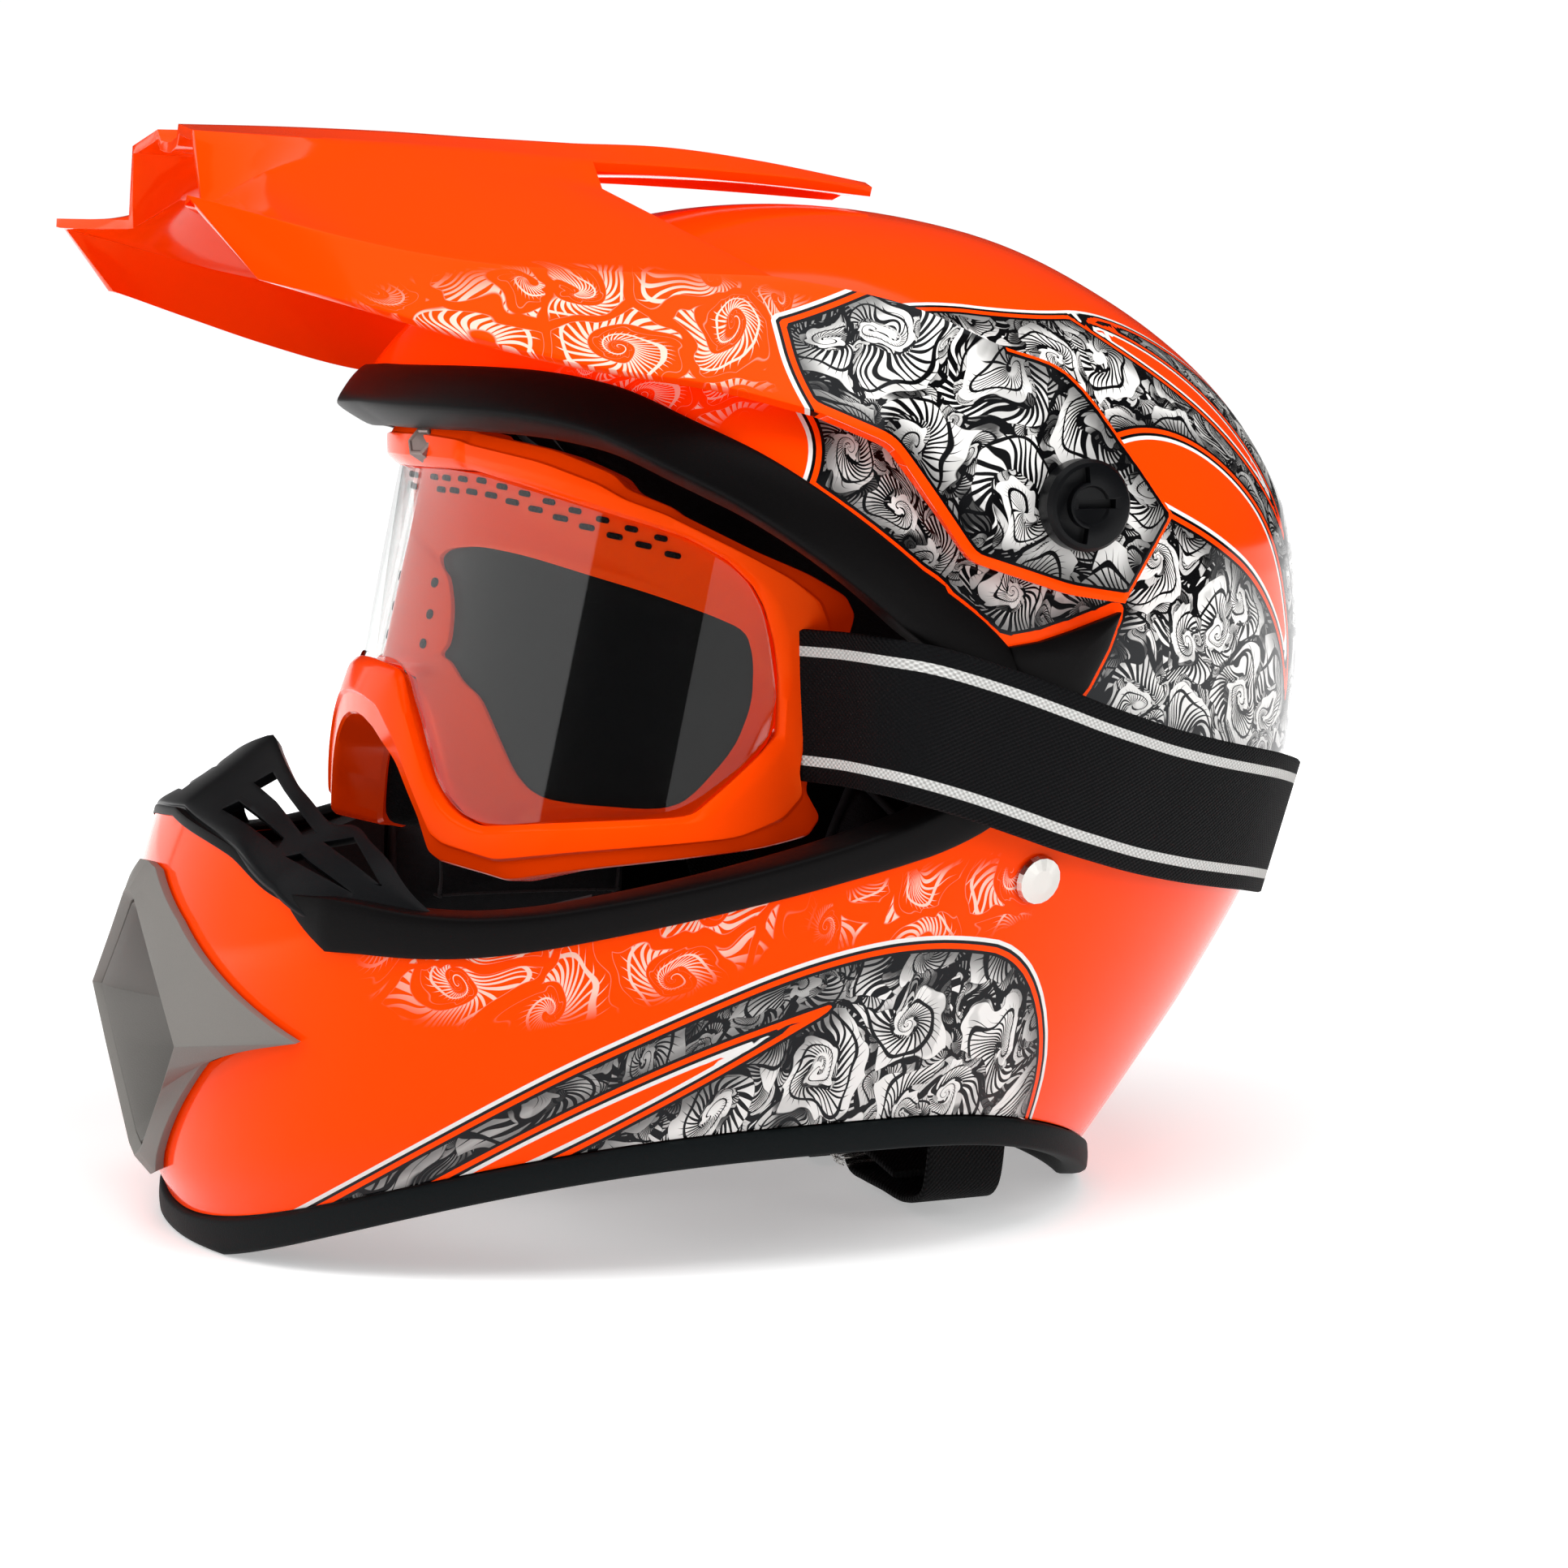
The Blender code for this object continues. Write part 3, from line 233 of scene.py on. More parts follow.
def fromNode(name, node, ease=0.0):
    # A copy of a node's mesh, its edges eased.
    obj = newObject(name, bpy.data.objects[node].data.copy())
    if ease:
        bevel(obj, ease, 3, 28)
    return obj


def pill(long, wide, deep):
    # A flat rounded bar in millimetres, its length along X and its face up Z.
    bend = np.linspace(-math.pi / 2, math.pi / 2, 9)
    reach = (long - wide) / 2
    right = np.stack((reach + wide / 2 * np.cos(bend), wide / 2 * np.sin(bend)), -1)
    loop = np.concatenate((right, -right))
    layers = ((0.86, -deep / 2), (1, -deep / 2 + 0.15 * deep), (1, deep / 2 - 0.15 * deep), (0.86, deep / 2))
    rows = np.array([[(x * grow, y * grow - shiftY, z) for x, y in loop] for grow, z in layers])
    return tube("pill", rows, False)


def scatterNodes():
    # Geometry nodes that set a shape on every point, turned by the marks "facing" and "along".
    tree = bpy.data.node_groups.new("scatterOnPoints", "GeometryNodeTree")
    add = tree.nodes.new
    link = tree.links.new
    sockets = [tree.interface.new_socket(key, in_out=way, socket_type=f"NodeSocket{kind}")
               for key, way, kind in (("Geometry", "INPUT", "Geometry"), ("Shape", "INPUT", "Object"),
                                      ("Finish", "INPUT", "Material"), ("Geometry", "OUTPUT", "Geometry"))]
    enter = add("NodeGroupInput")
    leave = add("NodeGroupOutput")
    info = add("GeometryNodeObjectInfo")
    place = add("GeometryNodeInstanceOnPoints")
    realize = add("GeometryNodeRealizeInstances")
    dress = add("GeometryNodeSetMaterial")
    last = None
    for axis, key in (("Z", "facing"), ("X", "along")):
        mark = add("GeometryNodeInputNamedAttribute")
        mark.data_type = "FLOAT_VECTOR"
        mark.inputs["Name"].default_value = key
        turnNode = add("FunctionNodeAlignRotationToVector")
        turnNode.axis = axis
        if last:
            turnNode.pivot_axis = "Z"
            link(last, turnNode.inputs["Rotation"])
        link(mark.outputs["Attribute"], turnNode.inputs["Vector"])
        last = turnNode.outputs["Rotation"]
    link(enter.outputs["Geometry"], place.inputs["Points"])
    link(enter.outputs["Shape"], info.inputs["Object"])
    link(info.outputs["Geometry"], place.inputs["Instance"])
    link(last, place.inputs["Rotation"])
    link(place.outputs["Instances"], realize.inputs["Geometry"])
    link(realize.outputs["Geometry"], dress.inputs["Geometry"])
    link(enter.outputs["Finish"], dress.inputs["Material"])
    link(dress.outputs["Geometry"], leave.inputs["Geometry"])
    return tree, sockets[1].identifier, sockets[2].identifier


scatterTree, shapeSocket, finishSocket = scatterNodes()


def scatter(name, shape, points, facing, along, material, body, slot):
    mesh = bpy.data.meshes.new(name)
    mesh.from_pydata(placed(points).tolist(), [], [])
    addMark(mesh, "facing", facing)
    addMark(mesh, "along", along)
    obj = newObject(name, mesh)
    step = modify(obj, "NODES", node_group=scatterTree)
    step[shapeSocket] = shape
    step[finishSocket] = material
    settle(obj)
    discard(shape)
    return finishPiece(obj, material, body, slot)


# Curves and the shell's skin.
def curve(table, x):
    # Smooth line through the (x, y) points of a table.
    table = np.asarray(table, float)
    xs = table[:, 0]
    ys = table[:, 1]
    slope = np.empty_like(ys)
    slope[1:-1] = (ys[2:] - ys[:-2]) / (xs[2:] - xs[:-2])
    slope[0] = (ys[1] - ys[0]) / (xs[1] - xs[0])
    slope[-1] = (ys[-1] - ys[-2]) / (xs[-1] - xs[-2])
    x = np.clip(x, xs[0], xs[-1])
    i = np.clip(np.searchsorted(xs, x, side="right") - 1, 0, len(xs) - 2)
    step = xs[i + 1] - xs[i]
    t = (x - xs[i]) / step
    value = ys[i] * (2 * t ** 3 - 3 * t * t + 1) + ys[i + 1] * (3 * t * t - 2 * t ** 3)
    return value + step * (slope[i] * (t ** 3 - 2 * t * t + t) + slope[i + 1] * (t ** 3 - t * t))


def cubic(points, i, f):
    # Smooth value between rows i and i + 1 of a table.
    p0, p1, p2, p3 = points[i - 1], points[i], points[i + 1], points[i + 2]
    last = (3 * p1 - p0 - 3 * p2 + p3) * f ** 3
    return 0.5 * (2 * p1 + (p2 - p0) * f + (2 * p0 - 5 * p1 + 4 * p2 - p3) * f * f + last)


def path(points, t):
    # Smooth path through evenly timed points, t from 0 to 1.
    points = np.asarray(points, float)
    points = np.concatenate((2 * points[:1] - points[1:2], points, 2 * points[-1:] - points[-2:-1]))
    last = len(points) - 3
    at = np.clip(np.asarray(t, float), 0, 1) * last
    i = np.minimum(at.astype(int), last - 1)
    return cubic(points, i + 1, (at - i)[..., None])


def unit(v):
    return v / np.maximum(np.linalg.norm(v, axis=-1, keepdims=True), 1e-9)


# Each ring of the skin: front point, half width and side point, back point, fullness front and back.
skinRings = np.array((
    (-152, 7.5, 107, -4, 38, 98, 7.5, 2.2, 2.1), (-158, 24, 114, -2, 58, 112, 26, 2.2, 2.1),
    (-160, 57, 120, 0, 88, 131, 50, 2.2, 2.1), (-155, 96, 124, 2, 112, 152, 86, 2.2, 2.1),
    (-140, 132, 127, 3, 138, 161, 122, 2.15, 2.1), (-120, 174, 128, 4, 165, 163, 155, 2.1, 2.1),
    (-99, 212, 126, 5, 192, 157, 188, 2.1, 2.1), (-80, 237, 114, 6, 222, 138, 217, 2.05, 2.05),
    (-52, 255, 90, 8, 246, 108, 241, 2, 2), (-18, 265, 50, 12, 262, 70, 259.5, 2, 2),
    (15, 268, 0, 15, 268, 15, 268, 2, 2)), float)
crown = 10
beyond = skinRings[-2].copy()
beyond[[0, 3, 5]] = 2 * skinRings[-1, 0] - beyond[[0, 3, 5]]
beyond[2] = -beyond[2]
ladder = np.vstack((2 * skinRings[0] - skinRings[1], skinRings, beyond))


def ringPoint(s, angle):
    s, angle = np.broadcast_arrays(np.asarray(s, float), np.asarray(angle, float))
    i = np.clip(np.floor(s).astype(int) + 1, 1, crown)
    v = cubic(ladder, i, (s + 1 - i)[..., None])
    c = np.cos(angle)
    k = np.sin(angle)
    ahead = c > 0
    power = 2 / np.where(ahead, v[..., 7], v[..., 8])
    endY = np.where(ahead, v[..., 0], v[..., 5])
    endZ = np.where(ahead, v[..., 1], v[..., 6])
    x = v[..., 2] * np.sign(k) * np.abs(k) ** power
    y = v[..., 3] + (endY - v[..., 3]) * np.abs(c) ** power
    z = v[..., 4] + (endZ - v[..., 4]) * np.abs(c) ** 2.3
    return np.stack((x, y, z), -1)


def skinSlopes(s, angle):
    high = np.minimum(s + 0.02, crown)
    up = (ringPoint(high, angle) - ringPoint(s - 0.02, angle)) / (high - s + 0.02)[..., None]
    side = (ringPoint(s, angle + 0.004) - ringPoint(s, angle - 0.004)) / 0.008
    return up, side


def skinNormal(s, angle):
    s, angle = np.broadcast_arrays(np.asarray(s, float), np.asarray(angle, float))
    up, side = skinSlopes(s, angle)
    normal = unit(np.cross(side, up))
    return np.where((s > crown - 0.02)[..., None], (0.0, 0.0, 1.0), normal)


def skin(s, angle, out=0.0):
    return ringPoint(s, angle) + skinNormal(s, angle) * np.asarray(out, float)[..., None]


def halving(low, high, shape, times, isUnder):
    # The place between two limits at which isUnder turns false.
    low = np.full(shape, low, float)
    high = np.full(shape, high, float)
    for _ in range(times):
        mid = (low + high) / 2
        under = isUnder(mid)
        low = np.where(under, mid, low)
        high = np.where(under, high, mid)
    return (low + high) / 2


def level(z, angle):
    # Place on the rings at which the skin reaches a height.
    z, angle = np.broadcast_arrays(np.asarray(z, float), np.asarray(angle, float))
    return halving(0, crown, z.shape, 34, lambda s: ringPoint(s, angle)[..., 2] < z)


def findSkin(value, z, axis, low, high):
    # Skin place of a given height and x (axis 0) or y (axis 1) between two angles.
    value, z = np.broadcast_arrays(np.asarray(value, float), np.asarray(z, float))
    angle = halving(low, high, value.shape, 30, lambda a: ringPoint(level(z, a), a)[..., axis] < value)
    return level(z, angle), angle


def onChin(x, z, out):
    x = np.asarray(x, float)
    s, angle = findSkin(np.abs(x), z, 0, 0.0, 1.4)
    return skin(s, angle * np.where(x < 0, -1, 1), out)


def onSide(y, z, out):
    s, angle = findSkin(y, z, 1, 1.2, 3.0)
    return skin(s, angle, out)


# Looks. Every pattern reads object coordinates or a mark kept on the mesh.
def newMaterial(name):
    material = bpy.data.materials.new(name)
    material.use_nodes = True
    return material, material.node_tree, material.node_tree.nodes["Principled BSDF"]


def setInputs(node, **values):
    for key, value in values.items():
        node.inputs[key.replace("_", " ")].default_value = value
    return node


def addNoise(tree, place, scale, detail, flat=False):
    node = tree.nodes.new("ShaderNodeTexNoise")
    node.noise_dimensions = "2D" if flat else "3D"
    setInputs(node, Scale=scale, Detail=detail)
    tree.links.new(place, node.inputs["Vector"])
    return node


def addBump(tree, shader, height, strength, distance):
    node = setInputs(tree.nodes.new("ShaderNodeBump"), Strength=strength, Distance=distance)
    tree.links.new(height, node.inputs["Height"])
    tree.links.new(node.outputs["Normal"], shader.inputs["Normal"])


def addRoughness(tree, shader, share, low, high):
    node = setInputs(tree.nodes.new("ShaderNodeMapRange"), To_Min=low, To_Max=high)
    tree.links.new(share, node.inputs["Value"])
    tree.links.new(node.outputs["Result"], shader.inputs["Roughness"])


def grainMaterial(name, color, rough, scale=1200, shade=0.12, roughSpread=0.08, bump=0.15, depth=0.0002,
                  **values):
    material, tree, shader = newMaterial(name)
    calc, _, _ = groupTools(tree)
    place = tree.nodes.new("ShaderNodeTexCoord").outputs["Object"]
    fine = addNoise(tree, place, scale, 3).outputs["Fac"]
    broad = addNoise(tree, place, 18, 2).outputs["Fac"]
    share = calc("MULTIPLY_ADD", fine, 0.5, calc("MULTIPLY", broad, 0.5))
    tones = [tuple(c * tone for c in color) for tone in (1 - shade, 1 + shade)]
    tree.links.new(mixColor(tree, share, *tones), shader.inputs["Base Color"])
    addRoughness(tree, shader, share, max(rough - roughSpread, 0.02), min(rough + roughSpread, 1.0))
    if bump:
        addBump(tree, shader, fine, bump, depth)
    setInputs(shader, **values)
    return material


def groupTools(tree):
    def calc(op, a, b=None, c=None, clamp=False):
        node = tree.nodes.new("ShaderNodeMath")
        node.operation = op
        node.use_clamp = clamp
        for i, value in enumerate((a, b, c)):
            if value is None:
                continue
            if isinstance(value, (int, float)):
                node.inputs[i].default_value = value
            else:
                tree.links.new(value, node.inputs[i])
        return node.outputs[0]

    def vec(op, a, b=None, scale=None, out="Vector"):
        node = tree.nodes.new("ShaderNodeVectorMath")
        node.operation = op
        for i, value in enumerate((a, b)):
            if value is None:
                continue
            if isinstance(value, tuple):
                node.inputs[i].default_value = value
            else:
                tree.links.new(value, node.inputs[i])
        if scale is not None:
            node.inputs["Scale"].default_value = scale
        return node.outputs[out]

    def step(value, low, high):
        # Smooth change from 0 to 1 between two values.
        node = tree.nodes.new("ShaderNodeMapRange")
        node.interpolation_type = "SMOOTHSTEP"
        tree.links.new(value, node.inputs["Value"])
        for key, item in (("From Min", low), ("From Max", high)):
            if isinstance(item, (int, float)):
                node.inputs[key].default_value = item
            else:
                tree.links.new(item, node.inputs[key])
        return node.outputs["Result"]
    return calc, vec, step


def scrollGroup():
    tree = bpy.data.node_groups.new("engravedScroll", "ShaderNodeTree")
    for key, way, kind in (("Place", "INPUT", "Vector"), ("Tone", "OUTPUT", "Float"),
                           ("Line", "OUTPUT", "Float")):
        tree.interface.new_socket(key, in_out=way, socket_type=f"NodeSocket{kind}")
    enter = tree.nodes.new("NodeGroupInput")
    leave = tree.nodes.new("NodeGroupOutput")
    link = tree.links.new
    calc, vec, step = groupTools(tree)
    noise = addNoise(tree, enter.outputs["Place"], 0.05, 1.0, True)
    sway = vec("SCALE", vec("SUBTRACT", noise.outputs["Color"], (0.5, 0.5, 0.5)), scale=16.0)
    place = vec("ADD", enter.outputs["Place"], sway)

    def voronoi(at, feature):
        node = tree.nodes.new("ShaderNodeTexVoronoi")
        node.voronoi_dimensions = "2D"
        node.feature = feature
        setInputs(node, Scale=1.0, Randomness=0.8)
        link(at, node.inputs["Vector"])
        return node

    def curls(size, shift):
        # One layer of curled leaves: a tone and a line strength for each place.
        at = vec("ADD", place, (shift, shift * 0.7, 0.0))
        small = vec("SCALE", at, scale=1.0 / size)
        cells = voronoi(small, "F1")
        edge = calc("MULTIPLY", voronoi(small, "DISTANCE_TO_EDGE").outputs["Distance"], size)
        local = vec("SCALE", vec("SUBTRACT", small, cells.outputs["Position"]), scale=size)
        parts = tree.nodes.new("ShaderNodeSeparateXYZ")
        link(local, parts.inputs[0])
        chance = tree.nodes.new("ShaderNodeSeparateColor")
        link(cells.outputs["Color"], chance.inputs[0])
        radius = vec("LENGTH", local, out="Value")
        turn = calc("DIVIDE", calc("ARCTAN2", parts.outputs[1], parts.outputs[0]), 2 * math.pi)
        turn = calc("MULTIPLY", turn, calc("SIGN", calc("SUBTRACT", chance.outputs[1], 0.5)))
        grow = calc("LOGARITHM", calc("ADD", calc("DIVIDE", radius, size * 0.14), 0.35), math.e)
        whirl = calc("ADD", calc("MULTIPLY_ADD", grow, 0.95, turn), chance.outputs[0])
        band = calc("FRACT", whirl)
        # Leaf lobes along the outer side of each whirl.
        lobes = calc("SINE", calc("MULTIPLY_ADD", turn, 2 * math.pi * 7, calc("MULTIPLY", grow, 9.0)))
        rim = calc("MULTIPLY_ADD", lobes, 0.07, 0.83)
        pastRim = step(band, rim, calc("ADD", rim, 0.04))
        body = calc("MULTIPLY", step(band, 0.03, 0.07), calc("SUBTRACT", 1.0, pastRim))
        # Engraved strokes crossing each leaf, longest on its inner side.
        stroke = calc("FRACT", calc("MULTIPLY_ADD", turn, 29.0, calc("MULTIPLY", band, 3.4)))
        stroke = calc("ABSOLUTE", calc("SUBTRACT", stroke, 0.5))
        reach = calc("MULTIPLY_ADD", band, -0.58, 0.42)
        ink = calc("SUBTRACT", 1.0, step(stroke, calc("SUBTRACT", reach, 0.05), calc("ADD", reach, 0.05)))
        ink = calc("MULTIPLY", ink, step(radius, size * 0.07, size * 0.14))
        fold = calc("ABSOLUTE", calc("SUBTRACT", band, 0.56))
        ink = calc("MAXIMUM", ink, calc("SUBTRACT", 1.0, step(fold, 0.022, 0.05)))
        tone = calc("MULTIPLY", body, calc("SUBTRACT", 1.0, ink))
        gap = calc("MULTIPLY_ADD", lobes, size * 0.022, size * 0.055)
        inside = step(edge, gap, calc("ADD", gap, size * 0.02))
        return calc("MULTIPLY", tone, inside), calc("MULTIPLY", body, inside)

    bigTone, bigLeaf = curls(21.0, 0.0)
    smallTone, _ = curls(9.5, 37.0)
    # Small curls show in the gaps of the large ones.
    ground = calc("MULTIPLY", calc("SUBTRACT", 1.0, bigLeaf), smallTone)
    tone = calc("MAXIMUM", bigTone, calc("MULTIPLY", ground, 0.5))
    # Broad shade gives the leaves depth.
    shade = addNoise(tree, enter.outputs["Place"], 0.09, 2.0, True)
    tone = calc("MULTIPLY", tone, calc("MULTIPLY_ADD", step(shade.outputs["Fac"], 0.36, 0.52), 0.5, 0.5))
    link(step(tone, 0.16, 0.66), leave.inputs["Tone"])
    line = calc("MULTIPLY", calc("SUBTRACT", 1.0, step(bigTone, 0.2, 0.8)), bigLeaf)
    link(line, leave.inputs["Line"])
    return tree


def attributeNode(tree, key):
    node = tree.nodes.new("ShaderNodeAttribute")
    node.attribute_name = key
    return node.outputs["Vector"]


def mixColor(tree, share, first, second):
    node = tree.nodes.new("ShaderNodeMix")
    node.data_type = "RGBA"
    tree.links.new(share, node.inputs[0])
    for i, value in ((6, first), (7, second)):
        if isinstance(value, tuple):
            node.inputs[i].default_value = (*value, 1)
        else:
            tree.links.new(value, node.inputs[i])
    return node.outputs[2]


orange = (1.0, 0.052, 0.0004)
# Painted light: a faint red emission that lifts shaded orange to red.
paintedRedGlow = (1.0, 0.03, 0.0, 1)
sheen = (1.0, 0.36, 0.06, 1)
ink = (0.003, 0.003, 0.0034)
paper = (0.80, 0.79, 0.77)


def lacquerMaterial():
    # Fluorescent orange with engraved panels. A faint red emission on the plain orange is painted light
    # that keeps its shade red. Marks: "chart" in millimetres, "fields" the panel's depth, the swirl and
    # the hidden inside.
    material = grainMaterial("lacquer", orange, 0.10, 2500, 0.03, 0.03, 0.03, 0.0001, Specular_IOR_Level=0.3,
                             Emission_Color=paintedRedGlow)
    tree = material.node_tree
    shader = tree.nodes["Principled BSDF"]
    grain = shader.inputs["Base Color"].links[0].from_socket
    calc, _, step = groupTools(tree)
    scroll = tree.nodes.new("ShaderNodeGroup")
    scroll.node_tree = scrollGroup()
    tree.links.new(attributeNode(tree, "chart"), scroll.inputs["Place"])
    fields = tree.nodes.new("ShaderNodeSeparateXYZ")
    tree.links.new(attributeNode(tree, "fields"), fields.inputs[0])
    depth = fields.outputs[0]
    lit = calc("MULTIPLY_ADD", step(depth, 1.5, 9.0), 0.75, 0.25)
    engraved = mixColor(tree, calc("MULTIPLY", scroll.outputs["Tone"], lit), ink, paper)
    swirl = calc("MULTIPLY", scroll.outputs["Line"], fields.outputs[1])
    color = mixColor(tree, swirl, grain, (0.86, 0.60, 0.50))
    for edge, layer in ((-2.4, paper), (-1.4, ink), (-0.6, grain), (0.7, ink), (1.5, engraved)):
        color = mixColor(tree, step(depth, edge - 0.06, edge + 0.06), color, layer)
    bare = calc("SUBTRACT", 1.0, step(fields.outputs[2], 0.4, 0.6))
    color = mixColor(tree, bare, ink, color)
    tree.links.new(color, shader.inputs["Base Color"])
    outer = calc("SUBTRACT", 1.0, step(depth, -2.5, -2.4))
    line = calc("MULTIPLY", step(depth, -0.65, -0.55), calc("SUBTRACT", 1.0, step(depth, 0.65, 0.75)))
    plain = calc("MULTIPLY", calc("ADD", outer, line), bare)
    # Painted light: the plain orange glows faintly red to lift its shade.
    tree.links.new(calc("MULTIPLY", plain, 0.12), shader.inputs["Emission Strength"])
    tree.links.new(mixColor(tree, plain, (0.55, 0.58, 0.62), sheen[:3]), shader.inputs["Specular Tint"])
    return material


def wovenMaterial(name, color, lines=()):
    # Webbing: a fine weave on the mark "cloth" (along, across), with pale lines at given places across.
    material = grainMaterial(name, color, 0.8, 2400, 0.5, 0.06, 0.0, Specular_IOR_Level=0.15)
    tree = material.node_tree
    shader = tree.nodes["Principled BSDF"]
    grain = shader.inputs["Base Color"].links[0].from_socket
    calc, _, step = groupTools(tree)
    place = tree.nodes.new("ShaderNodeSeparateXYZ")
    tree.links.new(attributeNode(tree, "cloth"), place.inputs[0])
    warp = calc("SINE", calc("MULTIPLY", place.outputs[0], 2 * math.pi / 1.7))
    weft = calc("SINE", calc("MULTIPLY", place.outputs[1], 2 * math.pi / 1.25))
    weave = calc("MULTIPLY", warp, weft)
    addBump(tree, shader, weave, 0.7, 0.0004)
    shade = calc("MULTIPLY_ADD", weave, 0.35, 0.65)
    dark = mixColor(tree, shade, tuple(c * 0.4 for c in color), grain)
    for middle, wide in lines:
        off = calc("ABSOLUTE", calc("SUBTRACT", calc("ABSOLUTE", place.outputs[1]), middle))
        thread = calc("SUBTRACT", 1.0, step(off, wide / 2 - 0.1, wide / 2 + 0.1))
        dark = mixColor(tree, thread, dark, mixColor(tree, shade, (0.30, 0.30, 0.29), (0.78, 0.78, 0.76)))
    tree.links.new(dark, shader.inputs["Base Color"])
    return material


looks = {
    "lacquer": lacquerMaterial(),
    "trim": grainMaterial("trimBlack", (0.0026, 0.0023, 0.0024), 0.42, 3200, 0.25, 0.08, 0.2,
                          Specular_IOR_Level=0.08),
    "rubber": grainMaterial("rimRubber", (0.004, 0.0055, 0.006), 0.6, 1800, 0.3, 0.1, 0.3,
                            Specular_IOR_Level=0.1),
    "blackPlastic": grainMaterial("blackPlastic", (0.0028, 0.003, 0.0036), 0.34, 3600, 0.25, 0.08, 0.2,
                                  Specular_IOR_Level=0.13),
    "grey": grainMaterial("greyPlastic", (0.155, 0.147, 0.135), 0.55, 2600, 0.14, 0.08, 0.3),
    "darkGrey": grainMaterial("darkGreyPlastic", (0.12, 0.114, 0.105), 0.6, 2600, 0.18, 0.08, 0.3),
    # Painted light: the goggle orange glows faintly red, lifting its shade and the flange behind the lens.
    "goggleOrange": grainMaterial("goggleOrange", (1.0, 0.062, 0.0005), 0.16, 1400, 0.03, 0.04, 0.04, 0.0001,
                                  Specular_IOR_Level=0.3, Specular_Tint=sheen, Emission_Color=paintedRedGlow,
                                  Emission_Strength=0.14),
    "foam": grainMaterial("faceFoam", (0.008, 0.008, 0.009), 0.95, 1600, 0.5, 0.04, 0.9, 0.0008,
                          Specular_IOR_Level=0.2),
    "liner": grainMaterial("linerFoam", (0.016, 0.016, 0.017), 0.85, 420, 0.35, 0.08, 0.6, 0.0008,
                           Specular_IOR_Level=0.2),
    "fabric": grainMaterial("liningFabric", (0.02, 0.02, 0.022), 0.9, 2200, 0.5, 0.06, 0.8, 0.0005,
                            Specular_IOR_Level=0.2),
    "piping": grainMaterial("pipingDark", (0.03, 0.03, 0.032), 0.7, 2200, 0.2, 0.06, 0.5,
                            Specular_IOR_Level=0.2),
    "metal": grainMaterial("brightMetal", (0.62, 0.60, 0.57), 0.24, 900, 0.06, 0.08, 0.04, 0.0001,
                           Metallic=1.0),
    "badge": grainMaterial("badgeGrey", (0.30, 0.23, 0.21), 0.35, 900, 0.08, 0.08, 0.04, 0.0001,
                           Metallic=0.4),
    "strap": wovenMaterial("strapElastic", (0.0032, 0.0034, 0.004), ((13.6, 2.5),)),
    "webbing": wovenMaterial("chinWebbing", (0.006, 0.006, 0.0065)),
    "thread": grainMaterial("thread", (0.05, 0.05, 0.052), 0.8, 2200, 0.3, 0.06, 0.4),
}


def clearLens():
    material, tree, shader = newMaterial("lensClear")
    setInputs(shader, Base_Color=(0.97, 0.985, 0.98, 1), Transmission_Weight=1.0, IOR=1.5)
    smear = addNoise(tree, tree.nodes.new("ShaderNodeTexCoord").outputs["Object"], 40, 2)
    addRoughness(tree, shader, smear.outputs["Fac"], 0.005, 0.03)
    return material


looks["lens"] = clearLens()
# Painted shade: a near-opaque black sheet for the dark inside seen through the lens.
looks["smoked"] = grainMaterial("smokedPane", (0.004, 0.004, 0.0045), 0.3, 900, 0.2, 0.05, 0.0, Alpha=0.975,
                                Specular_IOR_Level=0.1)
print("stage: tools and looks ready")

# The paint's own layout, drawn on a flat chart of each side in millimetres: back and up from the ear.
chartMiddle = np.array((0, 15, 150.0))
chartFacing = unit(np.array((1, 0.22, 0.25)))
chartBack = unit(np.cross((0, 0, 1), chartFacing))
chartUp = np.cross(chartFacing, chartBack)
chartRadius = 130
paint = {
    "panels": (((-70, 8), (-57, 27), (-61, 44), (-60, 58), (-60, 58), (-24, 66), (12, 61), (46, 67), (84, 55),
                (116, 38), (146, 12), (154, -24), (138, -60), (100, -70), (60, -72), (20, -72), (-14, -66),
                (-22, -44), (-26, -22), (-50, -6)),
               ((-196, -182), (-174, -154), (-150, -131), (-122, -115), (-92, -106), (-62, -99), (-30, -97),
                (4, -104), (20, -150), (0, -200), (-100, -215))),
    "blades": (((13, 24), (13, 24), (36, 30), (60, 25), (84, 9), (100, -14), (106, -40), (106, -40),
                (94, -22), (76, -8), (54, 1), (34, 8), (22, 14)),
               ((26, 66), (26, 66), (52, 59), (74, 45), (93, 24), (101, 4), (101, 4), (88, 18), (72, 32),
                (54, 44), (38, 55)),
               ((-152, -143), (-152, -143), (-122, -125), (-92, -115), (-56, -109), (-56, -109), (-88, -122),
                (-120, -135))),
    "swirls": (((-112, -82), (42, 17)), ((-92, 55), (40, 15)), ((-30, -88), (30, 8))),
}


def inside(places, outline):
    # Depth inside a closed outline, negative outside it.
    loop = rounded(outline, 3, 0.25)
    nearest = np.full(len(places), 1e9)
    crossings = np.zeros(len(places), int)
    for a, b in zip(loop, np.roll(loop, -1, 0)):
        side = b - a
        size = (side * side).sum()
        if size < 1e-12:
            continue
        off = places - a
        t = np.clip((off @ side) / size, 0, 1)
        nearest = np.minimum(nearest, ((off - t[:, None] * side) ** 2).sum(1))
        if abs(side[1]) > 1e-12:
            at = a[0] + (places[:, 1] - a[1]) * side[0] / side[1]
            crossings += ((a[1] > places[:, 1]) != (b[1] > places[:, 1])) & (places[:, 0] < at)
    return np.sqrt(nearest) * np.where(crossings % 2, 1, -1)


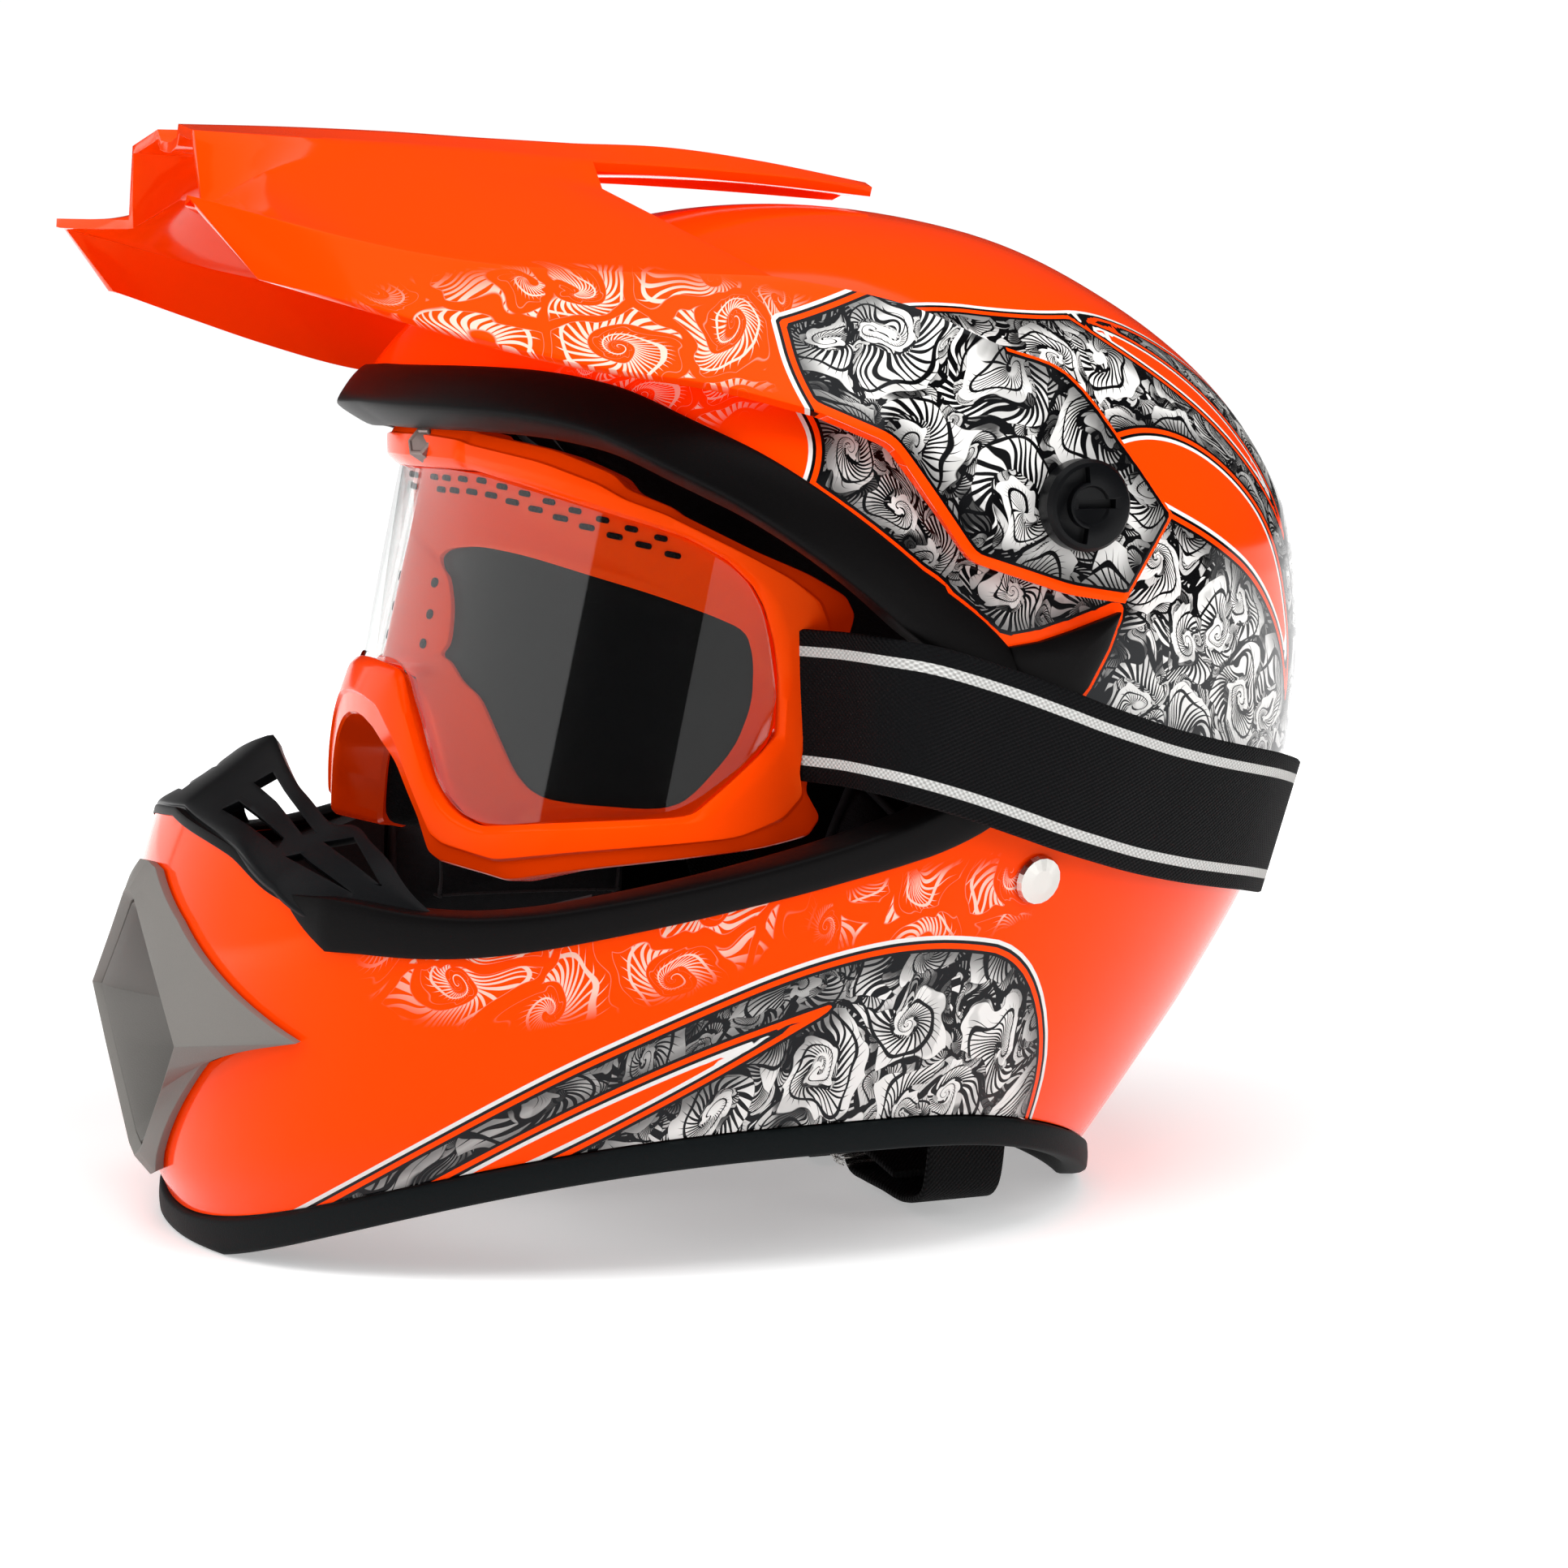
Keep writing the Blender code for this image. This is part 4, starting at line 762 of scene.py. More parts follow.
def layPaint(obj, outer, hidden, border):
    # Marks for the lacquer: the chart place, and the depth inside the panels; plain where outer is false.
    away = readPoints(obj.data) * 1000 - (0, shiftY, 0)
    away[:, 0] = np.abs(away[:, 0])
    away = unit(away - chartMiddle)
    angle = np.arccos(np.clip(away @ chartFacing, -1, 1))
    stretch = chartRadius * angle / np.maximum(np.sin(angle), 1e-6)
    places = np.stack((stretch * (away @ chartBack), stretch * (away @ chartUp)), -1)
    depth = np.max([inside(places, outline) for outline in paint["panels"]], 0)
    blade = np.max([inside(places, outline) for outline in paint["blades"]], 0)
    depth = np.clip(np.minimum(depth, -blade), -30, 30)
    depth = np.minimum(depth, np.maximum(border, -0.5))
    swirl = np.zeros(len(away))
    for middle, size in paint["swirls"]:
        far = np.linalg.norm((places - middle) / np.array(size), axis=1)
        swirl = np.maximum(swirl, np.clip((1.15 - far) * 3, 0, 1))
    fields = (np.where(outer, depth, -30), np.where(outer, swirl, 0), np.where(outer, 0, hidden))
    addMark(obj.data, "chart", np.stack((places[:, 0], places[:, 1], 0 * depth), -1))
    addMark(obj.data, "fields", np.stack(fields, -1))


def gapTo(spots, line):
    # Distance from each spot, in metres and on either side, to a line in millimetres.
    spots = spots * 1000 - (0, shiftY, 0)
    spots[:, 0] = np.abs(spots[:, 0])
    gap = np.full(len(spots), 1e9)
    for point in path(line, np.linspace(0, 1, 240)):
        gap = np.minimum(gap, np.linalg.norm(spots - point, axis=1))
    return gap


# Shell: a lower sheet up to the port's lower edge and an upper one from its upper edge to the crown.
portEnd = 100
shell = {"wall": 4.0, "lowRows": 44, "highRows": 66, "mouth": ((0, 88.5), (48, 58), (0, 22.5), (-48, 58))}
portTop = ((0, 216), (30, 214.5), (45, 210.5), (56, 203), (70, 191), (84, 173), (93, 155), (100, 134))
portBottom = ((0, 110), (18, 105), (27, 97.5), (32, 95), (40, 93.4), (47, 91.6), (54, 91.2), (62, 93.2),
              (76, 100.2), (88, 109.6), (96, 121), (100, 134))
portRear = ((100, 134), (140, 122), (180, 114))
turns = np.arange(-180, 180, 1.0)
angles = np.radians(turns)
away = np.abs(turns)
topEdge, lowEdge = [level(np.where(away <= portEnd, curve(line, away), curve(portRear, away)), angles)
                    for line in (portTop, portBottom)]
share = np.linspace(0, 1, shell["lowRows"])[:, None]
lowSheet = skin(lowEdge[None] * share, angles[None])
share = np.linspace(0, 1, shell["highRows"])[:, None]
highSheet = skin(topEdge[None] + (crown - topEdge[None]) * share, angles[None])
lowFaces = grid(shell["lowRows"], len(turns), False, True)
highFaces = grid(shell["highRows"], len(turns), False, True) + shell["lowRows"] * len(turns)
points = np.concatenate((lowSheet.reshape(-1, 3), highSheet.reshape(-1, 3)))
shellPiece = solid("shell", points, np.concatenate((lowFaces, highFaces)), weld=2e-6)
if sum(p.normal.z for p in shellPiece.data.polygons if p.center.z > 0.25) < 0:
    shellPiece.data.flip_normals()
thicken(shellPiece, shell["wall"])
settle(shellPiece)
mouth = [np.array([(x, y, z) for x, z in shell["mouth"]], float) for y in (-190, -112)]
cutAway(shellPiece, prism("mouthCutter", *mouth))

# Port trim: its section follows the port's edge, narrower below the goggles and flat under the guard.
trimFull = ((-11, 0.4), (-11, 1.9), (-6, 3.1), (1.6, 3.3), (3.2, 2.2), (3.2, -9), (0.7, -9), (0.7, 0.4))
trimFlat = ((-1.2, 0.2), (-1.2, 0.5), (-0.6, 0.6), (0.6, 0.7), (1.4, 0.5), (1.4, -7), (0.7, -7), (0.7, 0.2))
guardEnd = 36
topTurn = np.arange(-portEnd, portEnd + 0.5, 1.0)
portTurn = np.concatenate((topTurn, topTurn[::-1][1:-1]))
portBelow = np.concatenate((np.zeros(len(topTurn)), np.ones(len(topTurn) - 2)))
portAngle = np.radians(portTurn)
portHeight = np.where(portBelow > 0, curve(portBottom, np.abs(portTurn)), curve(portTop, np.abs(portTurn)))
portS = level(portHeight, portAngle)
portPoint = skin(portS, portAngle)
portNormal = skinNormal(portS, portAngle)
portRun = unit(np.roll(portPoint, -1, 0) - np.roll(portPoint, 1, 0))
portInto = unit(np.cross(portRun, portNormal))
if portInto[100, 2] > 0:
    portInto = -portInto


def offPort(inward, out, at=slice(None)):
    # Off the port's edge: a distance towards the opening and one off the skin.
    s = portS[at]
    angle = portAngle[at]
    inward = np.broadcast_to(np.asarray(inward, float), s.shape)
    move = portInto[at] * inward[..., None]
    up, side = skinSlopes(s, angle)
    uu = (up * up).sum(-1)
    us = (up * side).sum(-1)
    ss = (side * side).sum(-1)
    mu = (move * up).sum(-1)
    ms = (move * side).sum(-1)
    det = uu * ss - us * us
    s = s + (mu * ss - ms * us) / det
    angle = angle + (ms * uu - mu * us) / det
    return skin(s, angle, np.broadcast_to(out, s.shape))


flat = portBelow * np.clip((guardEnd - np.abs(portTurn)) / 6, 0, 1)
narrow = 1 - 0.45 * portBelow * curve(((0, 0), (30, 0), (60, 1), (84, 1), (100, 0)), np.abs(portTurn))
fullLoop = rounded(trimFull, 2, 0.22)
flatLoop = rounded(trimFlat, 2, 0.22)
trimRings = []
for (fullIn, fullOut), (flatIn, flatOut) in zip(fullLoop, flatLoop):
    inward = fullIn * (narrow if fullIn < 0 else 1)
    trimRings.append(offPort(inward * (1 - flat) + flatIn * flat, fullOut * (1 - flat) + flatOut * flat))
trimRings = np.stack(trimRings, 1)
finishPiece(tube("portTrim", trimRings), looks["trim"], "helmet", "black_trim", "eyeport_trim", sharp=50)

# Side plates: the pointed ends of the trim, crowned and running on from its band.
plate = {"outline": ((27, 157), (36, 158), (46, 160.4), (60, 164.2), (56, 155.5), (50, 146), (42, 138),
                     (33, 131)), "foot": 0.4, "rise": 2.6, "crown": 3.4}
outline = np.array(plate["outline"])
edge = stepped(np.concatenate((outline, outline[:1])), 6)
plateMiddle = np.array((46, 154.0))
layers = ((1.0, plate["foot"]), (1.0, plate["rise"] - 0.6), (0.97, plate["rise"] - 0.1),
          (0.9, plate["rise"] + 0.1), (0.7, plate["rise"] + 0.5), (0.4, plate["crown"] - 0.1),
          (0.1, plate["crown"]))
for side, word in sides:
    rows = []
    for grow, out in layers:
        ring = plateMiddle + (edge - plateMiddle) * grow
        rows.append(onSide(ring[:, 0], ring[:, 1], out) * (side, 1, 1))
    finishPiece(tube(f"sidePlate.{word}", np.array(rows), False), looks["trim"], "helmet", "black_trim",
                f"side_plate_{word}", sharp=50)

# The shell's paint, with an orange line beside the trim and the plates.
browRun = np.array([i for i in range(len(portTurn)) if not portBelow[i] and portTurn[i] > 30])
plateLine = onSide(edge[:, 0], edge[:, 1], 0.0)
spots = readPoints(shellPiece.data)
border = np.minimum(gapTo(spots, offPort(-11, 0.0, browRun)) - 0.5, gapTo(spots, plateLine) - 1.9)
outward = readPoints(shellPiece.data, "normal") * (spots - (0, 0.015, 0.12))
layPaint(shellPiece, outward.sum(1) > -0.01, 1.0, border)
finishPiece(shellPiece, looks["lacquer"], "helmet", "painted_shell", "outer_shell", sharp=40)
print("stage: shell", len(shellPiece.data.polygons))

# Base trim: a rounded rubber band under the bottom edge, flat at the two standing zones.
baseTurn = np.radians(np.arange(0, 360, 1.0))
baseEdge = skin(0.0 * baseTurn, baseTurn)
baseAway = unit(skinNormal(0.0 * baseTurn, baseTurn) * (1, 1, 0))
drop = 8 + 3 * np.abs(np.cos(baseTurn)) ** 8
bottom = np.maximum(0, baseEdge[:, 2] - drop)
baseSection = rounded(((1.5, 0), (1.9, 0.5), (1.5, 1), (-5.5, 1), (-5.5, 0)), 2, 0.18)
rings = []
for out, lift in baseSection:
    ring = baseEdge + baseAway * out
    ring[:, 2] = bottom + (baseEdge[:, 2] - 0.4 - bottom) * lift
    rings.append(ring)
finishPiece(tube("baseTrim", np.stack(rings, 1)), looks["rubber"], "helmet", "rim_rubber", "base_trim",
            sharp=50)
print("stage: trims")

# Nose guard: a vented shield leaning back from the chin's top edge, its windows cut through.
guard = {"wall": 2.4, "end": 48, "lean": 0.62, "rows": 32,
         "tall": ((0, 26.5), (8, 24), (16, 21), (20, 20), (24, 20), (28, 22.5), (32, 22), (36, 18.5),
                  (40, 14), (44, 8), (48, 3)),
         "windows": (((9, 7), (10, 10.8), (22, 10.1), (23, 7.6)),
                     ((8, 16.2), (9, 20.4), (15, 18.2), (24, 16), (23, 13.6), (16, 15.2)),
                     ((25, 7.4), (26, 10.2), (29, 9.6), (38, 4.6)),
                     ((27, 15.6), (32, 19.4), (41, 7.2)))}
lower = np.array([i for i in range(len(portTurn)) if portBelow[i] and abs(portTurn[i]) <= guard["end"]])
lowerTurn = np.abs(portTurn[lower])
tall = curve(guard["tall"], lowerTurn)
foot = np.interp(lowerTurn, (0, 8, 28, 36, 48), (0.6, 0.4, -0.2, -5, -6))
proud = curve(((0, -2.2), (8, -1.8), (16, -0.3), (24, 0.8), (32, 1.6), (48, 1.4)), lowerTurn)


def guardOut(reach):
    return 0.5 - guard["lean"] * reach


guardPath = np.array([(foot, proud), (foot + 1.2, proud + 0.4),
                      (np.minimum(foot + 3.5, tall * 0.4), np.minimum(proud, 0.4)),
                      (tall * 0.55, guardOut(tall * 0.55)), (tall, guardOut(tall))])
guardSteps = path(guardPath.reshape(len(guardPath), -1), np.linspace(0, 1, guard["rows"]))
rows = [offPort(a, b, lower) for a, b in guardSteps.reshape(guard["rows"], 2, -1)]
guardPiece = solid("noseGuard", np.array(rows), grid(guard["rows"], len(lower)), outward=False)
faceForward(guardPiece)
thicken(guardPiece, guard["wall"])
settle(guardPiece)
for side in (1, -1):
    for corners in guard["windows"]:
        face = []
        for turn, reach in corners:
            i = lower[np.argmin(np.abs(portTurn[lower] - side * turn))]
            face.append(offPort(reach, guardOut(reach), np.array((i,)))[0])
        face = np.array(face)
        through = unit(np.cross(face[1] - face[0], face[2] - face[0])) * 9
        cutAway(guardPiece, prism("guardCutter", face - through, face + through))
bevel(guardPiece, 0.6, 2, 40)
finishPiece(guardPiece, looks["blackPlastic"], "helmet", "black_plastic", "nose_guard")

# Mouth vent: a faceted frame and a funnel.
vent = {"rim": -163.0, "middle": 57, "rows": 18, "inset": 0.985, "behind": 2.6, "deep": 21.4,
        "outer": ((0, 97), (9, 96.2), (30, 86), (70, 61), (46, 54.5), (9, 18.5), (0, 16)),
        "inner": ((0, 88), (6, 86.5), (23, 74.5), (47.5, 58), (32, 45), (6, 25), (0, 23)),
        "throat": ((0, 77), (5, 76), (7, 68), (7, 57), (7, 46), (5, 38), (0, 37))}


def ventLoop(half, steps=14):
    # Straight runs between the corners, mirrored into a closed loop.
    half = np.array(half, float)
    right = np.concatenate((stepped(half, steps), half[-1:]))
    return np.concatenate((right, right[-2:0:-1] * (-1, 1)))


outer = ventLoop(vent["outer"])
inner = ventLoop(vent["inner"])
rim = vent["rim"]
ventMiddle = vent["middle"]
height = np.full(len(inner), rim)
frameRings = np.stack((
    onChin(outer[:, 0], outer[:, 1], 0.6), onChin(outer[:, 0], outer[:, 1], 3.0),
    np.stack((inner[:, 0] * 1.07, height + 0.2, ventMiddle + (inner[:, 1] - ventMiddle) * 1.08), -1),
    np.stack((inner[:, 0], height + 2.2, inner[:, 1]), -1),
    onChin(inner[:, 0] * 0.97, inner[:, 1], 1.8)), 1)
framePiece = tube("mouthVentFrame", frameRings)
bevel(framePiece, 0.7, 3, 24)
finishPiece(framePiece, looks["grey"], "helmet", "grey_plastic", "mouth_vent_frame", sharp=28)
throat = ventLoop(vent["throat"])
rows = []
for v in np.linspace(0, 1, vent["rows"]):
    x = inner[:, 0] * vent["inset"] * (1 - v) + throat[:, 0] * v
    y = np.full(len(x), rim + vent["behind"] + vent["deep"] * v ** 1.25)
    z = (ventMiddle + (inner[:, 1] - ventMiddle) * vent["inset"]) * (1 - v) + throat[:, 1] * v
    rows.append(np.stack((x, y, z), -1))
funnel = solid("mouthVentFunnel", np.array(rows), grid(vent["rows"], len(inner), False, True), outward=False)
thicken(funnel, 1.4, 0)
finishPiece(funnel, looks["darkGrey"], "helmet", "dark_grey_plastic", "mouth_vent_insert", sharp=30)
print("stage: guard and vent")

# Peak: lines from the front lip back, joined across; ears and rear spoiler follow on.
peak = {"wall": 2.6, "rows": 50, "earRows": 60, "earColumns": 20, "spoilerRows": 32}
peakMiddle = ((0, -148, 281), (0, -122, 280), (0, -95, 279), (0, -72, 278), (0, -58, 277.5), (0, -44, 277))
peakTrough = ((9, -148.3, 282), (8.5, -122, 280), (8, -95, 279), (8, -72, 278), (8, -58, 277.5),
              (8, -44, 277))
peakRidge = ((12, -148.5, 285), (11.5, -122, 285), (11, -95, 284.5), (11, -72, 283.5), (11, -58, 283),
             (11, -44, 282.5))
peakPlateau = ((36, -150, 282), (33, -122, 281), (31, -95, 280), (29, -72, 279), (28, -58, 278),
               (27, -44, 277))
peakValley = ((43, -150, 263), (43, -128, 274), (42, -95, 274.5), (41, -72, 273), (41, -58, 271.5),
              (40, -46, 269.5))
peakCrease = ((80, -162, 264.5), (87, -124, 254.5), (93, -97, 249.5), (98, -71, 247.5), (99, -45, 247),
              (101, -24, 246.5))
peakEdge = ((86, -147, 245), (95, -124, 239), (102, -101, 232), (109, -76, 225.5), (117, -45, 220.5),
            (123.5, -22, 214.5))
earX = 133.5
earTop = (peakCrease[-2], peakCrease[-1], (113, 5, 240), (128, 24, 230), (earX, 40, 223), (earX, 57, 204),
          (earX, 69, 188.5))
earEdge = (peakEdge[-1], (130.5, -5, 206.5), (133.2, 14.5, 178.2), (earX, 41, 169.6), (earX, 56, 167.2))
spoiler = (
    ((0, -58, 277.5), (0, -44, 277), (0, -18, 277), (0, 10, 276), (0, 40, 273.4)),
    ((8, -58, 277.5), (8, -44, 277), (8, -18, 277.3), (7, 10, 276.2), (5, 41, 273.4)),
    ((11, -58, 283), (11, -44, 282.5), (11, -18, 282), (9, 10, 279), (7, 41, 274)),
    ((28, -58, 278), (27, -44, 277), (24, -18, 276), (20, 10, 274.5), (14, 40, 272.4)))
spans = (3, 2, 6, 5, 14, 20)


def across(lines, counts):
    # Columns between neighbouring lines, from the middle out, then mirrored.
    columns = []
    for k, count in enumerate(counts):
        columns += [lines[k] + (lines[k + 1] - lines[k]) * n / count for n in range(count)]
    columns.append(lines[-1])
    columns = np.stack(columns, 1)
    return np.concatenate((columns[:, :0:-1] * (-1, 1, 1), columns), 1)


def straightRuns(points, count):
    # Even steps along straight runs, the corners eased.
    points = np.array(points, float)
    reach = np.concatenate(((0,), np.cumsum(np.linalg.norm(np.diff(points, axis=0), axis=1))))
    at = np.linspace(0, reach[-1], count)
    line = np.stack([np.interp(at, reach, points[:, k]) for k in range(3)], -1)
    for _ in range(3):
        line[1:-1] = (line[:-2] + 2 * line[1:-1] + line[2:]) / 4
    return line


t = np.linspace(0, 1, peak["rows"])
peakLines = (peakMiddle, peakTrough, peakRidge, peakPlateau, peakValley, peakCrease, peakEdge)
sheets = [across([path(line, t) for line in peakLines], spans)]
t = 1 / 6 + 5 / 6 * np.linspace(0, 1, peak["earRows"])
upper = path(earTop, t)
under = straightRuns(earEdge, peak["earRows"])
columns = peak["earColumns"]
ear = np.stack([upper + (under - upper) * n / columns for n in range(columns + 1)], 1)
sheets += [ear, ear[:, ::-1] * (-1, 1, 1)]
t = 0.25 + 0.75 * np.linspace(0, 1, peak["spoilerRows"])
sheets.append(across([path(line, t) for line in spoiler], spans[:3]))
points = []
faces = []
count = 0
for sheet in sheets:
    points.append(sheet.reshape(-1, 3))
    faces.append(grid(sheet.shape[0], sheet.shape[1]) + count)
    count += sheet.shape[0] * sheet.shape[1]
peakPiece = solid("peak", np.concatenate(points), np.concatenate(faces), weld=5e-5)
if max(peakPiece.data.polygons, key=lambda p: p.center.z).normal.z < 0:
    peakPiece.data.flip_normals()
thicken(peakPiece, peak["wall"])
bevel(peakPiece, 0.9, 3, 22)
settle(peakPiece)
spots = readPoints(peakPiece.data)
normals = readPoints(peakPiece.data, "normal")
earRear = np.concatenate((ear[-1, ::-1], upper[:24:-1]))
border = np.minimum(gapTo(spots, under) - 1.8, gapTo(spots, earRear))
layPaint(peakPiece, normals[:, 2] * 0.6 + normals[:, 0] * np.sign(spots[:, 0]) * 0.8 > -0.2, 0.0, border)
finishPiece(peakPiece, looks["lacquer"], "peak", "painted_shell", "peak", sharp=30)
print("stage: peak", len(peakPiece.data.polygons))

# Goggles: frame, face foam and lens.
goggle = {"radius": 84.0, "spread": 1.07, "lean": math.radians(13), "axis": (-7, 163)}
rimLine = np.array((
    (0, 29.6, 0, 17), (10, 29.9, 10, 17.3), (20, 29.2, 20, 18), (21.8, 27.9, 22.6, 18.2), (40, 27, 35, 16.6),
    (51, 23.9, 46, 14.7), (54, 20.7, 54, 13.5), (61.6, 18.6, 60, 12.7), (64, 17, 65, 11.8),
    (76.7, 12.2, 72.4, 8.6), (86.6, 9.5, 77.5, 3.9), (94, 6.2, 80.3, -0.8), (96.5, 2, 83.2, -8.9),
    (95.5, -12, 85.2, -17), (94, -30, 86.3, -24), (94, -44, 87.2, -31), (98, -49.5, 84.8, -37),
    (96.5, -54.5, 80.4, -46), (88, -60, 75.4, -55.6), (61, -73.4, 57, -62.7), (47.7, -81, 41, -69),
    (42.5, -80.6, 38.5, -69), (33.9, -80.4, 35.5, -68), (31, -79, 32.5, -66), (27, -71, 28, -61),
    (18.5, -59, 20, -46), (9, -52.3, 14.5, -35.8), (4, -50.3, 6, -34.6), (0, -49.8, 0, -34.4)), float)


def gogglePoint(turn, up, radius):
    angle = np.radians(turn)
    ahead = radius * np.cos(angle)
    lean = goggle["lean"]
    y = goggle["axis"][0] + up * math.sin(lean) - ahead * math.cos(lean)
    z = goggle["axis"][1] + up * math.cos(lean) + ahead * math.sin(lean)
    return np.stack(np.broadcast_arrays(goggle["spread"] * radius * np.sin(angle), y, z), -1)


def goggleAxes(turn, up):
    # Facing, and along the turn, at a place on the goggles.
    radius = goggle["radius"]
    here = gogglePoint(turn, up, radius)
    facing = unit(gogglePoint(turn, up, radius + 1) - here)
    along = unit(gogglePoint(turn + 0.5, up, radius) - here)
    return facing, along


rimCount = len(rimLine)
rimT = np.linspace(0, rimCount - 1, 260)
rimHalf = np.stack([np.interp(rimT, np.arange(rimCount), rimLine[:, k]) for k in range(4)], -1)
rimLoop = eased(np.concatenate((rimHalf, rimHalf[-2:0:-1] * (-1, 1, -1, 1))))
browLift = np.clip((21 - np.abs(rimLoop[:, 0])) / 1.5, 0, 1) * (rimLoop[:, 1] > 0)


def rimRing(section, lift=0.0):
    rings = []
    for share, radius in section:
        proud = np.clip((radius - goggle["radius"]) / 2, 0, 1)
        raised = lift * browLift * np.clip(share * 6, 0, 1) * proud
        rings.append(gogglePoint(rimLoop[:, 2] + (rimLoop[:, 0] - rimLoop[:, 2]) * share,
                                 rimLoop[:, 3] + (rimLoop[:, 1] - rimLoop[:, 3]) * share, radius + raised))
    return np.stack(rings, 1)


r = goggle["radius"]
rimWidth = np.array((12, 1))
frameSection = np.array(((0, r - 1), (0, r + 1.0), (0.14, r + 2.6), (0.6, r + 3.8), (0.66, r + 2.7),
                         (0.96, r + 1.8), (1, r + 0.8), (1, r - 13), (0.25, r - 13)))
frameSection = rounded(frameSection * rimWidth, 1, 0.1) / rimWidth
finishPiece(tube("goggleFrame", rimRing(frameSection, 1.2)), looks["goggleOrange"], "goggles",
            "goggle_plastic", "goggle_frame", sharp=24)
foamSection = np.array(((0.3, r - 13.2), (0.9, r - 13.2), (0.9, r - 20), (0.62, r - 24.5), (0.38, r - 20)))
foamSection = rounded(foamSection * rimWidth, 2, 0.22) / rimWidth
foamPiece = finishPiece(tube("goggleFoam", rimRing(foamSection)), looks["foam"], "goggles", "face_foam",
                        "goggle_foam")
lensEnd = 85.6
lens = {"columns": 172, "rows": 30, "wall": 1.2, "inset": 1.2}
lensTop = ((0, 16.4), (20, 17.4), (38, 15.4), (53, 13.2), (65, 10.9), (75, 5.8), (80, -1.8), (83, -11.3),
           (lensEnd, -22))
lensBottom = ((0, -33.8), (12, -34.2), (20.5, -44.6), (30.3, -62.6), (40, -68.2), (56, -62.1), (72.5, -54.6),
              (81.3, -41.9), (lensEnd, -32))
turn = np.linspace(-lensEnd, lensEnd, lens["columns"])[:, None]
low = curve(lensBottom, np.abs(turn))
high = curve(lensTop, np.abs(turn))
share = np.linspace(0, 1, lens["rows"])[None]
lensGrid = gogglePoint(turn, low + (high - low) * share, r - lens["inset"])
lensPiece = solid("goggleLens", lensGrid, grid(lens["columns"], lens["rows"]), outward=False)
faceForward(lensPiece)
thicken(lensPiece, lens["wall"], 1)
finishPiece(lensPiece, looks["lens"], "goggles", "lens_clear", "goggle_lens")

# Inner flange behind the lens: a sheet with one opening a side and a post between them.
flange = {"depth": 7.0, "middle": (45.0, -28.0), "corners": ((0.0, 17.5), (0.0, -35.0)), "opening": (
    (9.7, -4.7), (12.5, -2.4), (22.2, -0.3), (34.5, -0.4), (48.8, -2.1), (60.4, -3.4), (71.6, -5.4),
    (79, -7.5), (81.5, -14), (83, -25), (81.5, -37), (75, -52), (70, -55.8), (55.2, -58.7), (48.8, -59.2),
    (44.8, -57.6), (41.1, -54.1), (35.4, -45.3), (30.4, -37.9), (25.1, -35), (20.7, -30.8),
    (17, -29.6), (19.1, -26.2), (17.8, -17), (14.7, -9.8), (10.9, -6.5))}
opening = rounded(flange["opening"], 2, 0.2)
middle = np.array(flange["middle"])
outline = np.concatenate((flange["corners"][:1], rimHalf[:, 2:], flange["corners"][1:]))
reachOut = []
for ray in opening - middle:
    best = 1.0
    for a, b in zip(outline, np.roll(outline, -1, 0)):
        side = b - a
        det = ray[0] * side[1] - ray[1] * side[0]
        if abs(det) < 1e-9:
            continue
        gap = a - middle
        far = (gap[0] * side[1] - gap[1] * side[0]) / det
        share = (gap[0] * ray[1] - gap[1] * ray[0]) / det
        if -1e-6 <= share <= 1 + 1e-6 and far > best:
            best = far
    reachOut.append(best)
outside = middle + (opening - middle) * np.array(reachOut)[:, None]
outside[:, 0] = np.maximum(outside[:, 0], 0)
for corner in flange["corners"]:
    outside[np.argmin(np.linalg.norm(outside - corner, axis=1))] = corner


def bothEyes(name, rows, wall, weld=1e-6):
    # A sheet round one eye's opening and its mirror image.
    points = np.array(rows).reshape(-1, 3)
    faces = grid(len(rows), len(opening), False, True)
    obj = solid(name, np.concatenate((points, points * (-1, 1, 1))),
                np.concatenate((faces, faces[:, ::-1] + len(points))), weld=weld, outward=False)
    faceForward(obj)
    thicken(obj, wall)
    return obj


rows = []
for k in np.linspace(0, 1, 7):
    place = opening + (outside - opening) * k
    rows.append(gogglePoint(place[:, 0], place[:, 1], r - flange["depth"] + 3.6 * k ** 1.5))
flangePiece = bothEyes("goggleFlange", rows, 1.4, 3e-5)
bevel(flangePiece, 0.3, 2, 40)
finishPiece(flangePiece, looks["goggleOrange"], "goggles", "goggle_plastic")

# Painted shade: a near-black sheet across the flange's two openings, standing in for the dark inside seen
# through the lens.
rows = []
for k in np.linspace(1.06, 0.0, 12):
    place = middle + (opening - middle) * k
    rows.append(gogglePoint(place[:, 0], place[:, 1], r - flange["depth"] - 1.9))
finishPiece(bothEyes("goggleInnerPane", rows, 0.8), looks["smoked"], "goggles", "lens_clear")

# Its vent slots and holes, and the badge on the brow.
slotTurn = np.array((6, 11, 16.5, 22, 27.5, 33, 38.5, 44, 49.5, 55, 60.5))
slotTurn = np.concatenate((slotTurn, -slotTurn))
for row, inset, turnBy, sink, long in (("outer", 2.0, 0.0, 3.7, 3.4), ("inner", 5.0, 2.6, 4.7, 4.2)):
    rowTurn = slotTurn + np.sign(slotTurn) * turnBy
    rowUp = np.interp(np.abs(rowTurn), rimLine[:14, 2], rimLine[:14, 3]) - inset
    facing, along = goggleAxes(rowTurn, rowUp)
    scatter(f"flangeSlots.{row}", pill(long, 1.5, 1.2), gogglePoint(rowTurn, rowUp, r - sink), facing, along,
            looks["foam"], "goggles", "face_foam")
holeTurn = np.array((11.3, 12, 11.8, -11.3, -12, -11.8))
holeUp = np.array((-11.8, -20.1, -27.9, -11.8, -20.1, -27.9))
